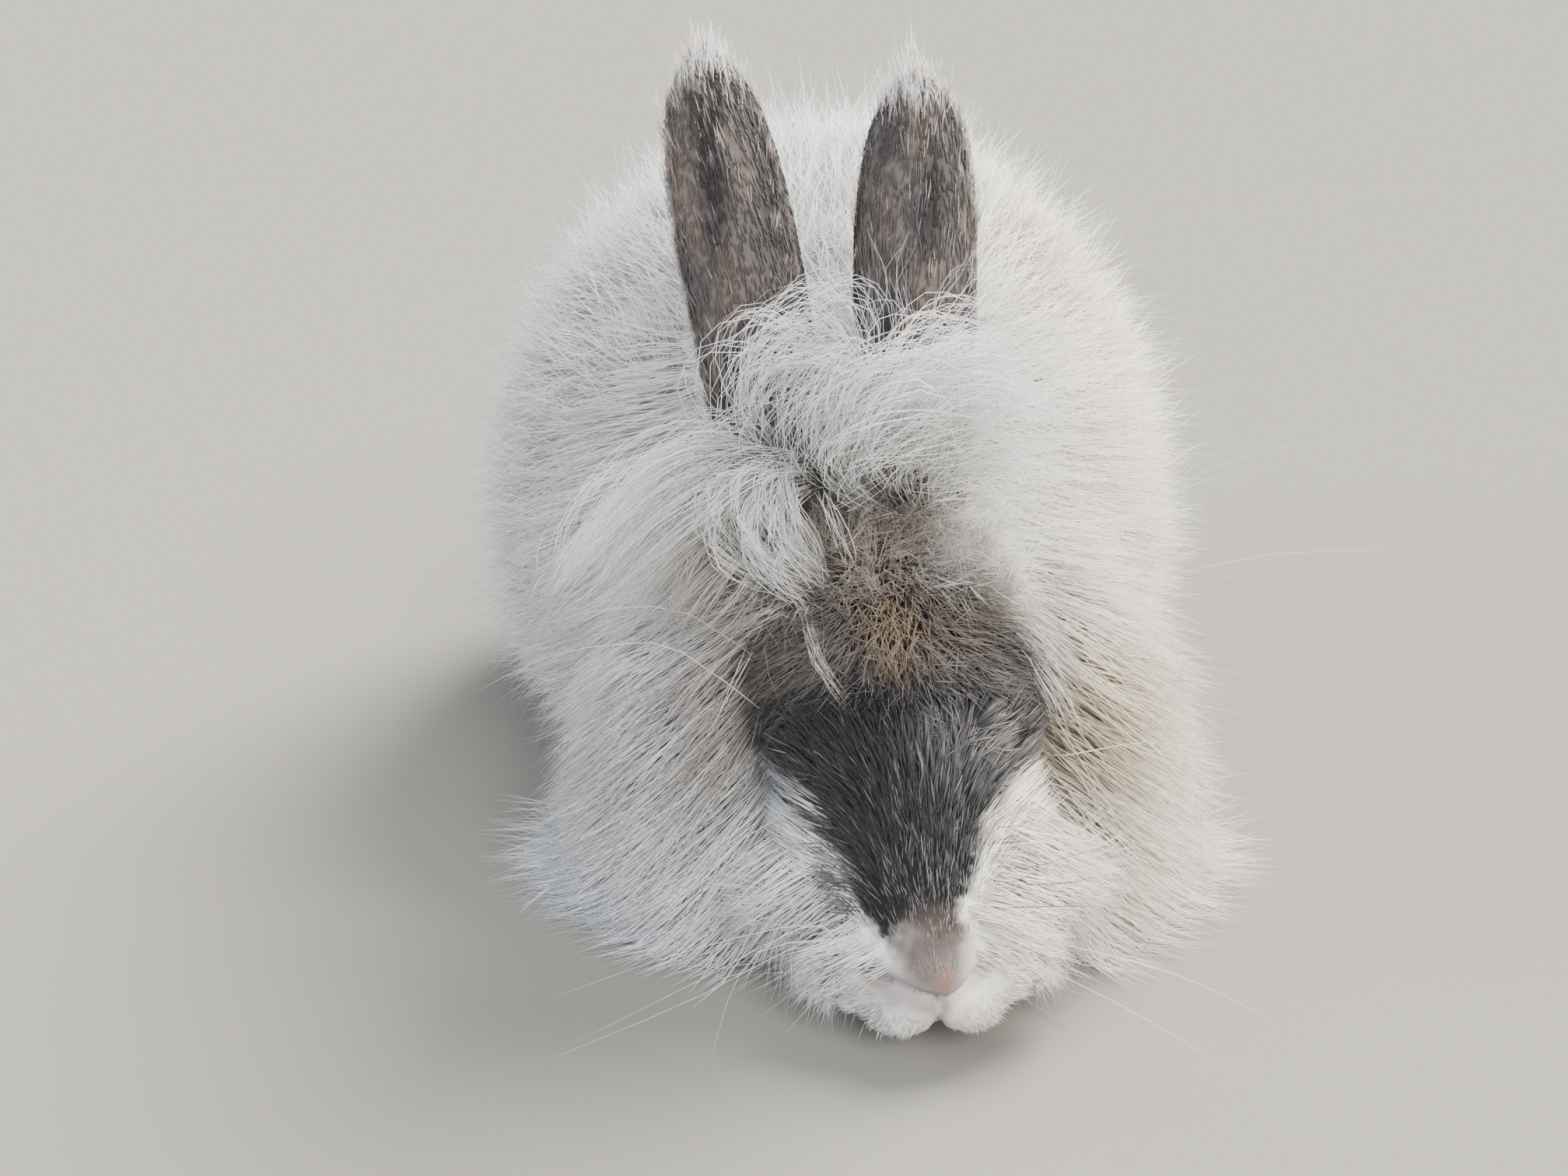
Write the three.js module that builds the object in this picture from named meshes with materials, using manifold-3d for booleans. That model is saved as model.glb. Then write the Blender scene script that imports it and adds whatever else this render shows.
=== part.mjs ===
// An angora rabbit at life size, crouched on a floor with its head down and its ears up.
// Millimetres, +Z up. The nose points along -Y, and +X is the animal's left side.
// Each part is its own closed solid. The coat is built as tapered locks rooted in a core that
// reaches less than half way out through the wool.
import * as THREE from "three";
import { mergeVertices } from "three/addons/utils/BufferGeometryUtils.js";
import Module from "manifold-3d";

const wasm = await Module();
wasm.setup();

// Driving sizes.
const GAP = 0.3;
const FLOOR_CLEAR = 1.2;
const HEAD_PITCH = 38;
const HEAD_LEAN = -5;
const HEAD_TILT = 5;
const MUZZLE = point(21.5, -167.5, 13.8);
const EAR_RADIUS = 14;
const EAR_WALL = 3.2;
const EYE_RADIUS = 8.4;
const COAT_RISE = 14;
const LOCK_SINK = 5;
const LOCK_RIDGE = 0.2;
const SHORTEST_EDGE = 0.12;

function point(x, y, z) {
  return new THREE.Vector3(x, y, z);
}

const radians = THREE.MathUtils.degToRad;
const lerp = THREE.MathUtils.lerp;

// A value that runs smoothly through the stated values at the stated places.
function track(places, values) {
  const curve = new THREE.CatmullRomCurve3(
    places.map((place, i) => point(i, values[i], 0)),
    false,
    "catmullrom",
    0.5,
  );
  const last = places.length - 1;
  return (place) => {
    const at = THREE.MathUtils.clamp(place, places[0], places[last]);
    let i = 0;
    while (i < last - 1 && at > places[i + 1]) i++;
    const share = (at - places[i]) / (places[i + 1] - places[i]);
    return curve.getPoint((i + share) / last).y;
  };
}

// Seeded draws, so that every run gives the same coat.
function draws(seed) {
  let state = seed >>> 0;
  return () => {
    state = (state + 0x6d2b79f5) >>> 0;
    let mixed = Math.imul(state ^ (state >>> 15), 1 | state);
    mixed = (mixed + Math.imul(mixed ^ (mixed >>> 7), 61 | mixed)) ^ mixed;
    return ((mixed ^ (mixed >>> 14)) >>> 0) / 4294967296;
  };
}

// A closed mesh from positions and faces, turned so that its faces point out.
function solidOf(points, faces) {
  const geometry = new THREE.BufferGeometry();
  geometry.setAttribute("position", new THREE.Float32BufferAttribute(points.flatMap((p) => p.toArray()), 3));
  geometry.setIndex(faces);
  const merged = mergeVertices(geometry, 1e-4);
  const places = merged.attributes.position;
  const triVerts = new Uint32Array(merged.index.array);
  const [a, b, c] = [point(0, 0, 0), point(0, 0, 0), point(0, 0, 0)];
  let volume = 0;
  for (let i = 0; i < triVerts.length; i += 3) {
    a.fromBufferAttribute(places, triVerts[i]);
    b.fromBufferAttribute(places, triVerts[i + 1]);
    c.fromBufferAttribute(places, triVerts[i + 2]);
    volume += a.dot(b.cross(c));
  }
  if (volume < 0) triVerts.reverse();
  return new wasm.Manifold(new wasm.Mesh({ numProp: 3, vertProperties: places.array, triVerts }));
}

// A solid through closed rings of points. A ring of one point ends it there.
function throughRings(rings) {
  const faces = [];
  const starts = [];
  let count = 0;
  for (const ring of rings) {
    starts.push(count);
    count += ring.length;
  }
  for (let i = 0; i + 1 < rings.length; i++) {
    const [from, to] = [rings[i], rings[i + 1]];
    const sides = Math.max(from.length, to.length);
    for (let j = 0; j < sides; j++) {
      const k = (j + 1) % sides;
      const [a, b] = [starts[i] + (j % from.length), starts[i] + (k % from.length)];
      const [c, d] = [starts[i + 1] + (j % to.length), starts[i + 1] + (k % to.length)];
      if (from.length > 1) faces.push(a, b, d);
      if (to.length > 1) faces.push(a, d, c);
    }
  }
  const first = rings[0].length;
  for (let j = 1; j + 1 < first; j++) faces.push(starts[0], starts[0] + j + 1, starts[0] + j);
  const [end, last] = [starts[rings.length - 1], rings[rings.length - 1].length];
  for (let j = 1; j + 1 < last; j++) faces.push(end, end + j, end + j + 1);
  return solidOf(rings.flat(), faces);
}

// A rounded form, given by a function of how far along it (0 to 1) and round it (0 to 1).
class Form {
  constructor(surface, rings, sides) {
    this.surface = surface;
    this.rings = rings;
    this.sides = sides;
  }

  normal(along, round) {
    const step = 0.004;
    const u = THREE.MathUtils.clamp(along, 2 * step, 1 - 2 * step);
    const down = this.surface(u + step, round).sub(this.surface(u - step, round));
    const over = this.surface(u, round + step).sub(this.surface(u, round - step));
    return down.cross(over).normalize();
  }

  at(along, round, out = 0) {
    return this.surface(along, round).addScaledVector(this.normal(along, round), out);
  }

  solid(grow = 0) {
    const rings = [];
    for (let i = 0; i <= this.rings; i++) {
      const along = i / this.rings;
      if (i === 0 || i === this.rings) {
        const inward = this.surface(i === 0 ? 0.02 : 0.98, 0).add(this.surface(i === 0 ? 0.02 : 0.98, 0.5));
        const end = this.surface(along, 0);
        const away = end.clone().sub(inward.multiplyScalar(0.5)).normalize();
        rings.push([end.addScaledVector(away, grow)]);
        continue;
      }
      const ring = [];
      for (let j = 0; j < this.sides; j++) ring.push(this.at(along, j / this.sides, grow));
      rings.push(ring);
    }
    return throughRings(rings);
  }
}

// A form swept along a straight axis, with its half width, its reach up and its reach down
// given at stations. The ends close to a point.
function sweptForm({ origin, axis, side, up, stations, rings, sides, spacing = 1, boxy = 1 }) {
  const half = track(stations.at, stations.half);
  const above = track(stations.at, stations.up);
  const below = track(stations.at, stations.down);
  const shift = stations.shift ? track(stations.at, stations.shift) : () => 0;
  const [start, end] = [stations.at[0], stations.at[stations.at.length - 1]];
  const surface = (along, round) => {
    const share = THREE.MathUtils.clamp(along, 0, 1) ** spacing;
    const place = lerp(start, end, share);
    const angle = 2 * Math.PI * round;
    const [cos, sin] = [Math.cos(angle), Math.sin(angle)];
    const power = sin < 0 ? boxy : 1;
    const across = Math.sign(cos) * Math.abs(cos) ** power * half(place) + shift(place);
    const rise = sin > 0 ? sin * above(place) : -(Math.abs(sin) ** power) * below(place);
    return origin
      .clone()
      .addScaledVector(axis, place)
      .addScaledVector(side, across)
      .addScaledVector(up, rise);
  };
  return new Form(surface, rings, sides);
}

// A plain case round a swept form, with flat sides that stay outside it. Neighbours are cut with
// the case, so that they need no copy of every small feature.
function caseRound({ origin, axis, side, up, stations }, sides, room) {
  const last = stations.at.length - 1;
  const rings = stations.at.map((place, i) => {
    const end = i === 0 ? -room : i === last ? room : 0;
    return Array.from({ length: sides }, (_, j) => {
      const angle = (2 * Math.PI * (j + 0.5)) / sides;
      const [cos, sin] = [Math.cos(angle), Math.sin(angle)];
      const reach = sin > 0 ? stations.up[i] : stations.down[i];
      return origin
        .clone()
        .addScaledVector(axis, place + end)
        .addScaledVector(side, (cos * (stations.half[i] + room)) / Math.cos(Math.PI / sides))
        .addScaledVector(up, (sin * (reach + room)) / Math.cos(Math.PI / sides));
    });
  });
  return throughRings(rings);
}

// An ellipsoid with its long way along Y.
function egg(centre, radii, rings, sides) {
  const surface = (along, round) => {
    const [turn, angle] = [Math.PI * along, 2 * Math.PI * round];
    return point(
      centre.x + radii.x * Math.sin(turn) * Math.cos(angle),
      centre.y - radii.y * Math.cos(turn),
      centre.z + radii.z * Math.sin(turn) * Math.sin(angle),
    );
  };
  return new Form(surface, rings, sides);
}

// A lock bends towards level as it comes down to the floor, and stops just above it.
function overFloor(place) {
  const soft = 7;
  if (place.z < soft) place.z = FLOOR_CLEAR + (soft - FLOOR_CLEAR) * Math.exp((place.z - soft) / (soft - FLOOR_CLEAR));
  return place;
}

// One lock: flat underneath, with a low ridge along its top, widest near its root and tapered to
// its tip. It rises off the core and bends along the lie of the coat.
const LOCK_STEPS = [
  [0, 0.85],
  [0.38, 1],
  [0.72, 0.7],
];
const CURL_STEPS = [
  [0, 0.7],
  [0.3, 1],
  [0.58, 0.95],
  [0.82, 0.62],
];

function spineOf({ root, out, lie, length, rise, curl = 0, bow = 0.8, sink = LOCK_SINK }) {
  const side = lie.clone().cross(out).normalize();
  return (t) =>
    root
      .clone()
      .addScaledVector(out, -sink + (rise + sink) * t ** bow)
      .addScaledVector(lie, length * t)
      .addScaledVector(side, curl * t * t);
}

function lock(sizes, grow = 0) {
  const spine = spineOf(sizes);
  const side = sizes.lie.clone().cross(sizes.out).normalize();
  const rings = (sizes.steps ?? LOCK_STEPS).map(([t, share]) => {
    const centre = spine(t);
    const tangent = spine(t + 0.05).sub(centre).normalize();
    const face = side.clone().cross(tangent).normalize();
    const across = side.clone().multiplyScalar(0.5 * sizes.width * share + grow / LOCK_RIDGE);
    const ridge = face.clone().multiplyScalar(LOCK_RIDGE * sizes.width * share + 1.1 * grow);
    const under = face.clone().multiplyScalar(-grow);
    return [centre.clone().add(across).add(under), centre.clone().add(ridge), centre.clone().sub(across).add(under)];
  });
  rings.push([spine(1 + grow / sizes.length)]);
  return throughRings(rings.map((ring) => ring.map(overFloor)));
}

// How far a place is outside a form, and the way out of it there.
function outsideOf(form, place) {
  if (!form.samples) {
    form.samples = [];
    for (let i = 1; i < 24; i++) {
      for (let j = 0; j < 24; j++) {
        form.samples.push({ at: form.at(i / 24, j / 24), out: form.normal(i / 24, j / 24) });
      }
    }
  }
  let nearest = form.samples[0];
  for (const sample of form.samples) {
    if (sample.at.distanceToSquared(place) < nearest.at.distanceToSquared(place)) nearest = sample;
  }
  return { far: place.clone().sub(nearest.at).dot(nearest.out), out: nearest.out };
}

// Roots spread evenly over a form, no two nearer than the spacing.
function roots(form, spacing, wanted, seed) {
  const draw = draws(seed);
  const found = [];
  for (let i = 0; i < 4000; i++) {
    const [along, round] = [lerp(0.03, 0.97, draw()), draw()];
    const root = form.at(along, round);
    if (found.some((other) => other.root.distanceTo(root) < spacing)) continue;
    found.push({ root, out: form.normal(along, round) });
  }
  return found.filter(({ root, out }) => wanted(root, out));
}

// The way a coat lies at a root: the stated flow, laid flat on the form there.
function laid(flow, out) {
  return flow.clone().addScaledVector(out, -flow.dot(out)).normalize();
}

// Locks that would run into a neighbour are bent away from it, and left out where they can't be.
function clearOf(neighbours, locks, room) {
  return locks.filter((each) => {
    for (let turn = 0; turn < 6; turn++) {
      const worst = neighbours
        .flatMap((form) => [0.5, 1].map((t) => outsideOf(form, spineOf(each)(t))))
        .sort((a, b) => a.far - b.far)[0];
      if (worst.far > room) return true;
      each.lie.addScaledVector(worst.out, 0.5);
      each.lie = laid(each.lie, each.out);
    }
    return false;
  });
}

function union(solids) {
  return solids.length === 1 ? solids[0] : wasm.Manifold.union(solids);
}

// The floor, as a block to cut flat soles and bellies with.
function floorBlock(top) {
  const block = new THREE.BoxGeometry(600, 700, 100);
  block.deleteAttribute("normal");
  block.deleteAttribute("uv");
  block.translate(0, 0, top - 50);
  const merged = mergeVertices(block, 1e-4);
  return new wasm.Manifold(
    new wasm.Mesh({
      numProp: 3,
      vertProperties: merged.attributes.position.array,
      triVerts: new Uint32Array(merged.index.array),
    }),
  );
}

// One part of the animal: its pieces joined, and cut clear of those that are already there and
// of the floor, which only the feet touch.
const parts = new Map();

function make(name, pieces, clear = pieces) {
  let body = union(pieces.map((piece) => piece(0)));
  const taken = [...parts.values()].map((other) => other.clear);
  body = body.subtract(union([...taken, floorBlock(/foot/.test(name) ? 0 : FLOOR_CLEAR)]));
  const bodies = body.decompose().sort((a, b) => b.volume() - a.volume());
  parts.set(name, { solid: bodies[0], clear: union(clear.map((piece) => piece(GAP))) });
}

// The head's own directions: back along it, to its left side, and up out of its forehead.
const headTurn = new THREE.Euler(radians(HEAD_PITCH), 0, radians(-HEAD_LEAN), "ZXY");
const headFrame = new THREE.Quaternion()
  .setFromEuler(headTurn)
  .multiply(new THREE.Quaternion().setFromAxisAngle(point(0, 1, 0), radians(-HEAD_TILT)));
const headBack = point(0, 1, 0).applyQuaternion(headFrame);
const headSide = point(1, 0, 0).applyQuaternion(headFrame);
const headUp = point(0, 0, 1).applyQuaternion(headFrame);

function onHead(back, side, up) {
  return MUZZLE.clone().addScaledVector(headBack, back).addScaledVector(headSide, side).addScaledVector(headUp, up);
}

// A ball squashed to three radii along the head's own directions.
function headBall(centre, radii, rings = 8, sides = 12) {
  const surface = (along, round) => {
    const [turn, angle] = [Math.PI * along, 2 * Math.PI * round];
    return onHead(
      centre.back - radii.back * Math.cos(turn),
      centre.side + radii.side * Math.sin(turn) * Math.cos(angle),
      centre.up + radii.up * Math.sin(turn) * Math.sin(angle),
    );
  };
  return new Form(surface, rings, sides);
}

// Eyes: dark balls set well into the sides of the head.
const EYE = { back: 64, side: 21, up: 10, facing: 24 };
const eyes = [-1, 1].map((s) => ({
  name: s < 0 ? "eye_right" : "eye_left",
  form: headBall({ ...EYE, side: s * EYE.side }, { back: EYE_RADIUS, side: EYE_RADIUS, up: EYE_RADIUS }, 8, 12),
  hand: s,
}));
for (const eye of eyes) make(eye.name, [(grow) => eye.form.solid(grow)]);

// Skull and muzzle in their short fur, from the front of the nose to the nape.
const SKULL = {
  origin: MUZZLE,
  axis: headBack,
  side: headSide,
  up: headUp,
  stations: {
    at: [-4, -3, 0, 5, 12, 22, 36, 48, 60, 76, 92, 106, 118, 124],
    half: [0, 6, 9.5, 12.5, 16, 19.5, 23.5, 27.5, 31, 33, 33, 29, 19, 0],
    up: [0, 4, 6.5, 8.5, 10.5, 13, 17, 21.5, 25, 28, 29.5, 27.5, 18, 0],
    down: [0, 6, 9.5, 12.5, 15.5, 19, 24, 27.5, 30, 31, 29, 25, 16, 0],
  },
  spacing: 1.2,
};
const skull = sweptForm({ ...SKULL, rings: 24, sides: 26 });
const skullCase = (grow) => caseRound(SKULL, 16, grow + 0.8);

// Lids: a rim round the front of each eye, thickest over the top.
function lid(hand) {
  const rings = [];
  const turns = 12;
  const [level, rise] = [Math.cos(radians(EYE.facing)), Math.sin(radians(EYE.facing))];
  for (let i = 0; i < turns; i++) {
    const angle = (2 * Math.PI * i) / turns;
    const [cos, sin] = [Math.cos(angle), Math.sin(angle)];
    const thick = sin > 0 ? 2.5 : 1.8;
    const ring = [];
    for (let j = 0; j < 6; j++) {
      const turn = (2 * Math.PI * j) / 6;
      const reach = 6.7 + 0.8 * thick * Math.cos(turn);
      const lift = 5 + thick * Math.sin(turn);
      ring.push(
        onHead(
          EYE.back + 1.05 * reach * cos,
          hand * (EYE.side + lift * level - 0.86 * reach * sin * rise),
          EYE.up + lift * rise + 0.86 * reach * sin * level,
        ),
      );
    }
    rings.push(ring);
  }
  return ringTube(rings);
}

// A tube that closes on itself.
function ringTube(rings) {
  const sides = rings[0].length;
  const faces = [];
  for (let i = 0; i < rings.length; i++) {
    const next = (i + 1) % rings.length;
    for (let j = 0; j < sides; j++) {
      const k = (j + 1) % sides;
      faces.push(i * sides + j, i * sides + k, next * sides + k);
      faces.push(i * sides + j, next * sides + k, next * sides + j);
    }
  }
  return solidOf(rings.flat(), faces);
}

// Lips: two rounded lobes under the nose, parted in the middle, the whisker pads behind them,
// and the chin below.
const lips = [-1, 1].map((s) => headBall({ back: 3.5, side: s * 7.8, up: -3.4 }, { back: 8, side: 8.6, up: 8.4 }));
const pads = [-1, 1].map((s) => headBall({ back: 14, side: s * 9.5, up: -3 }, { back: 12, side: 9, up: 9.5 }));
const cheeks = [-1, 1].map((s) => headBall({ back: 46, side: s * 16, up: -9 }, { back: 25, side: 15, up: 19 }, 8, 12));
const chin = headBall({ back: 9, side: 0, up: -12 }, { back: 9, side: 8, up: 5.5 }, 6, 10);
const nose = headBall({ back: 5.8, side: 0, up: 5.4 }, { back: 6.6, side: 9, up: 4.8 }, 8, 10);

// A slit cut along a curved line: the nostrils, the parting under the nose and the mouth.
function slit(places, half) {
  const curve = new THREE.CatmullRomCurve3(places.map((p) => onHead(...p)));
  const steps = 6;
  const rings = [];
  for (let i = 0; i <= steps; i++) {
    const centre = curve.getPoint(i / steps);
    const tangent = curve.getTangent(i / steps);
    const across = tangent.clone().cross(headBack).normalize();
    const deep = tangent.clone().cross(across).normalize();
    const size = half * Math.sin(Math.PI * lerp(0.12, 0.88, i / steps));
    rings.push(
      [0, 1, 2, 3].map((j) => {
        const angle = (Math.PI / 2) * j;
        return centre
          .clone()
          .addScaledVector(across, size * Math.cos(angle))
          .addScaledVector(deep, 3.2 * size * Math.sin(angle));
      }),
    );
  }
  return throughRings(rings);
}

const slits = [
  slit([[-2, -0.6, 4.4], [-2.2, -4, 5], [0.6, -9, 5.6], [5, -13, 5]], 1),
  slit([[-2, 0.6, 4.4], [-2.2, 4, 5], [0.6, 9, 5.6], [5, 13, 5]], 1),
  slit([[-3, 0, 5], [-4.4, 0, 0], [-4.4, 0, -5], [-2, 0, -10.5]], 1),
  slit([[15, -15.5, -9.5], [6, -9.5, -12.6], [-1, 0, -10.6], [6, 9.5, -12.6], [15, 15.5, -9.5]], 1.1),
];

make("head_core", [skullCase]);

// Ears: a rolled leaf standing on the back of the head, open to the back and outwards.
function ear({ base, tip, opening, length }) {
  const axis = tip.clone().sub(base).normalize();
  const away = opening.clone().addScaledVector(axis, -opening.dot(axis)).normalize();
  const side = axis.clone().cross(away).normalize();
  const radius = track([0, 0.12, 0.35, 0.6, 0.8, 0.92, 1], [8, 10, 12.6, EAR_RADIUS, 13.6, 10.6, 3.5]);
  const wrap = track([0, 0.15, 0.4, 0.7, 0.9, 1], [165, 150, 122, 100, 88, 75]);
  const bend = (t) => 5 * Math.sin(Math.PI * t);
  const place = (t, across, depth) => {
    const angle = radians(wrap(t)) * across;
    const r = radius(t) + depth;
    return base
      .clone()
      .addScaledVector(axis, length * t)
      .addScaledVector(away, -bend(t) - r * Math.cos(angle) + 0.4 * radius(t))
      .addScaledVector(side, r * Math.sin(angle));
  };
  const sleeve = (grow) => {
    const rings = [0, 0.12, 0.35, 0.6, 0.82, 1.03].map((t) => {
      const centre = base.clone().addScaledVector(axis, length * t);
      const reach = radius(t) + 0.6 * EAR_WALL + grow + 1;
      centre.addScaledVector(away, -bend(t) + 0.4 * radius(t));
      return Array.from({ length: 10 }, (_, i) => {
        const angle = (Math.PI * i) / 5;
        return centre
          .clone()
          .addScaledVector(away, -reach * Math.cos(angle))
          .addScaledVector(side, reach * Math.sin(angle));
      });
    });
    return throughRings(rings);
  };
  return { axis, away, side, place, sleeve };
}

const EARS = {
  ear_right: { base: point(-7, -104, 84), tip: point(-31, -81, 214), opening: point(-0.5, 1, 0), length: 134 },
  ear_left: { base: point(20.5, -104, 82), tip: point(18.5, -81, 208), opening: point(0.5, 1, 0), length: 129 },
};

const EAR_STEPS = 12;
const EAR_ACROSS = 10;

// The rolled leaf as a solid: an outer and an inner face with the same grid, joined at the rim.
function earShell(shape, grow) {
  const [outer, inner] = [[], []];
  for (let i = 0; i <= EAR_STEPS; i++) {
    const t = i / EAR_STEPS;
    const wall = EAR_WALL * lerp(1.1, 0.6, t);
    for (let j = 0; j <= EAR_ACROSS; j++) {
      const across = (2 * j) / EAR_ACROSS - 1;
      const edge = 1 - 0.5 * Math.abs(across) ** 4;
      outer.push(shape.place(t, across * (1 + grow / 30), 0.5 * wall * edge + grow));
      inner.push(shape.place(t, across * (1 + grow / 30), -0.5 * wall * edge - grow));
    }
  }
  const row = EAR_ACROSS + 1;
  const count = outer.length;
  const faces = [];
  const quad = (a, b, c, d) => faces.push(a, b, c, a, c, d);
  for (let i = 0; i < EAR_STEPS; i++) {
    for (let j = 0; j < EAR_ACROSS; j++) {
      const a = i * row + j;
      quad(a, a + 1, a + row + 1, a + row);
      quad(count + a, count + a + row, count + a + row + 1, count + a + 1);
    }
    const [first, last] = [i * row, i * row + EAR_ACROSS];
    quad(first, first + row, count + first + row, count + first);
    quad(last, count + last, count + last + row, last + row);
  }
  for (let j = 0; j < EAR_ACROSS; j++) {
    const top = EAR_STEPS * row + j;
    quad(j, count + j, count + j + 1, j + 1);
    quad(top, top + 1, count + top + 1, count + top);
  }
  return solidOf([...outer, ...inner], faces);
}

// Wisps on the tip and the rims of an ear.
function earLocks(shape, seed) {
  const draw = draws(seed);
  const locks = [];
  const add = (t, across, length) => {
    const root = shape.place(t, across, 0);
    const out = root.clone().sub(shape.place(t, 0, -40)).addScaledVector(shape.axis, -0.2).normalize();
    const lie = laid(shape.axis.clone().addScaledVector(shape.side, 0.5 * across), out);
    locks.push({ root, out, lie, length, width: 9, rise: lerp(0.5, 2.5, draw()), bow: 1, sink: 1 });
  };
  for (let i = 0; i < 3; i++) add(0.95, lerp(-0.6, 0.6, i / 2), lerp(14, 18, draw()));
  for (const hand of [-1, 1]) for (let i = 0; i < 2; i++) add(0.58 + 0.2 * i, 0.9 * hand, lerp(14, 18, draw()));
  return locks;
}

const earShapes = Object.fromEntries(Object.entries(EARS).map(([name, sizes]) => [name, ear(sizes)]));
Object.entries(earShapes).forEach(([name, shape], i) => {
  const wisps = earLocks(shape, 41 + i);
  make(name, [(grow) => earShell(shape, grow), ...wisps.map((w) => (grow) => lock(w, grow))], [shape.sleeve]);
});

// Long wool on the crown: it stands up between and before the ears, and falls forward and to
// both sides. Below it, shorter wool covers the backs of the cheeks.
function crownLocks() {
  const draw = draws(7);
  const flat = (place) => place.clone().sub(MUZZLE);
  const tops = roots(skull, 11.5, (root) => flat(root).dot(headBack) > 80 && flat(root).dot(headUp) > 15, 11);
  const backs = roots(
    skull,
    19,
    (root) => flat(root).dot(headBack) > 66 && Math.abs(flat(root).dot(headUp)) < 18 && root.y < -100,
    13,
  );
  const crown = tops.map(({ root }) => {
    const side = flat(root).dot(headSide);
    const out = point(0.012 * side, -1, 0.35).normalize();
    const lean = side > -8 ? lerp(0.1, 0.9, draw()) : lerp(-0.9, 0.1, draw());
    return {
      root,
      out,
      lie: laid(point(lean, 0, 1), out),
      length: lerp(34, 52, draw()),
      width: lerp(18, 24, draw()),
      rise: lerp(8, 20, draw()),
      curl: lerp(-14, 14, draw()),
      bow: 0.7,
      steps: CURL_STEPS,
    };
  });
  const cheekLocks = backs.map(({ root, out }) => {
    const flow = headBack.clone().multiplyScalar(0.6).addScaledVector(headUp, -0.8);
    flow.addScaledVector(headSide, 0.3 * (draw() - 0.5));
    return { root, out, lie: laid(flow, out), length: lerp(24, 32, draw()), width: 17, rise: lerp(6, 10, draw()) };
  });
  return [...crown, ...cheekLocks];
}

const headPieces = [
  (grow) => skull.solid(grow),
  (grow) => nose.solid(grow),
  (grow) => chin.solid(grow),
  ...lips.map((lobe) => (grow) => lobe.solid(grow)),
  ...[...pads, ...cheeks].map((pad) => (grow) => pad.solid(grow)),
  ...eyes.map((eye) => () => lid(eye.hand)),
  ...crownLocks().map((w) => (grow) => lock(w, grow)),
];
parts.delete("head_core");
make("head", headPieces, [skullCase, ...headPieces.slice(1)]);
for (const cut of slits) parts.get("head").solid = parts.get("head").solid.subtract(cut);

// Feet: long hind feet flat on the floor beside the belly, and small forefeet under the chest.
function foot({ heel, toes, half, height, spread, toeCount, claw }) {
  const along = toes.clone().sub(heel);
  const length = along.length();
  along.normalize();
  const side = along.clone().cross(point(0, 0, 1)).normalize();
  const sole = sweptForm({
    origin: heel,
    axis: along,
    side,
    up: point(0, 0, 1),
    stations: {
      at: [-2, 3, 0.3 * length, 0.7 * length, 0.92 * length, length],
      half: [0, 0.62 * half, 0.8 * half, half, 0.95 * half, 0],
      up: [0, 0.85 * height, height, 0.8 * height, 0.6 * height, 0],
      down: [0, 6, 6, 6, 6, 0],
    },
    rings: 7,
    sides: 10,
  });
  const pieces = [(grow) => sole.solid(grow)];
  const boot = {
    origin: heel,
    axis: along,
    side,
    up: point(0, 0, 1),
    stations: {
      at: [-2, 0.4 * length, length + 9],
      half: [0.75 * half, 0.95 * half, half + 1],
      up: [0.9 * height, height, 0.75 * height],
      down: [6, 6, 6],
    },
  };
  for (let i = 0; i < toeCount; i++) {
    const across = lerp(-spread, spread, i / (toeCount - 1));
    const reach = 0.5 * half * (1 - 0.45 * Math.abs(across / spread));
    const root = heel.clone().addScaledVector(along, length - 6).addScaledVector(side, across);
    const toe = sweptForm({
      origin: root,
      axis: along,
      side,
      up: point(0, 0, 1),
      stations: {
        at: [-8, 0, reach, reach + 5],
        half: [0, 4.2, 3.9, 0],
        up: [0, 6.5, 5.5, 0],
        down: [0, 6, 6, 0],
      },
      rings: 5,
      sides: 6,
    });
    pieces.push((grow) => toe.solid(grow));
    const nail = [];
    for (let j = 0; j < 3; j++) {
      const r = claw.radius * [1, 0.75, 0][j];
      const centre = root.clone().addScaledVector(along, reach + 1 + [0, 0.55, 1][j] * claw.length);
      centre.z += [3.4, 3, 1.4][j];
      nail.push(
        j === 2
          ? [centre]
          : [0, 1, 2, 3, 4].map((k) => {
              const turn = (2 * Math.PI * k) / 5;
              return centre.clone().addScaledVector(side, r * Math.cos(turn)).add(point(0, 0, r * Math.sin(turn)));
            }),
      );
    }
    pieces.push(() => throughRings(nail));
  }
  return { pieces, clear: [(grow) => caseRound(boot, 8, grow + 0.4)] };
}

const FEET = {
  hindfoot_right: { heel: point(-72, 74, 0), toes: point(-77, -8, 0), half: 13, height: 17, spread: 8 },
  hindfoot_left: { heel: point(76, 74, 0), toes: point(81, -8, 0), half: 13, height: 17, spread: 8 },
  forefoot_right: { heel: point(-4, -80, 0), toes: point(-5, -112, 0), half: 11, height: 16, spread: 6.5 },
  forefoot_left: { heel: point(28, -80, 0), toes: point(29, -112, 0), half: 11, height: 16, spread: 6.5 },
};
for (const [name, sizes] of Object.entries(FEET)) {
  const toeCount = 4;
  const made = foot({ ...sizes, toeCount, claw: { radius: 1.5, length: 7 } });
  make(name, made.pieces, made.clear);
}

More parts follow.
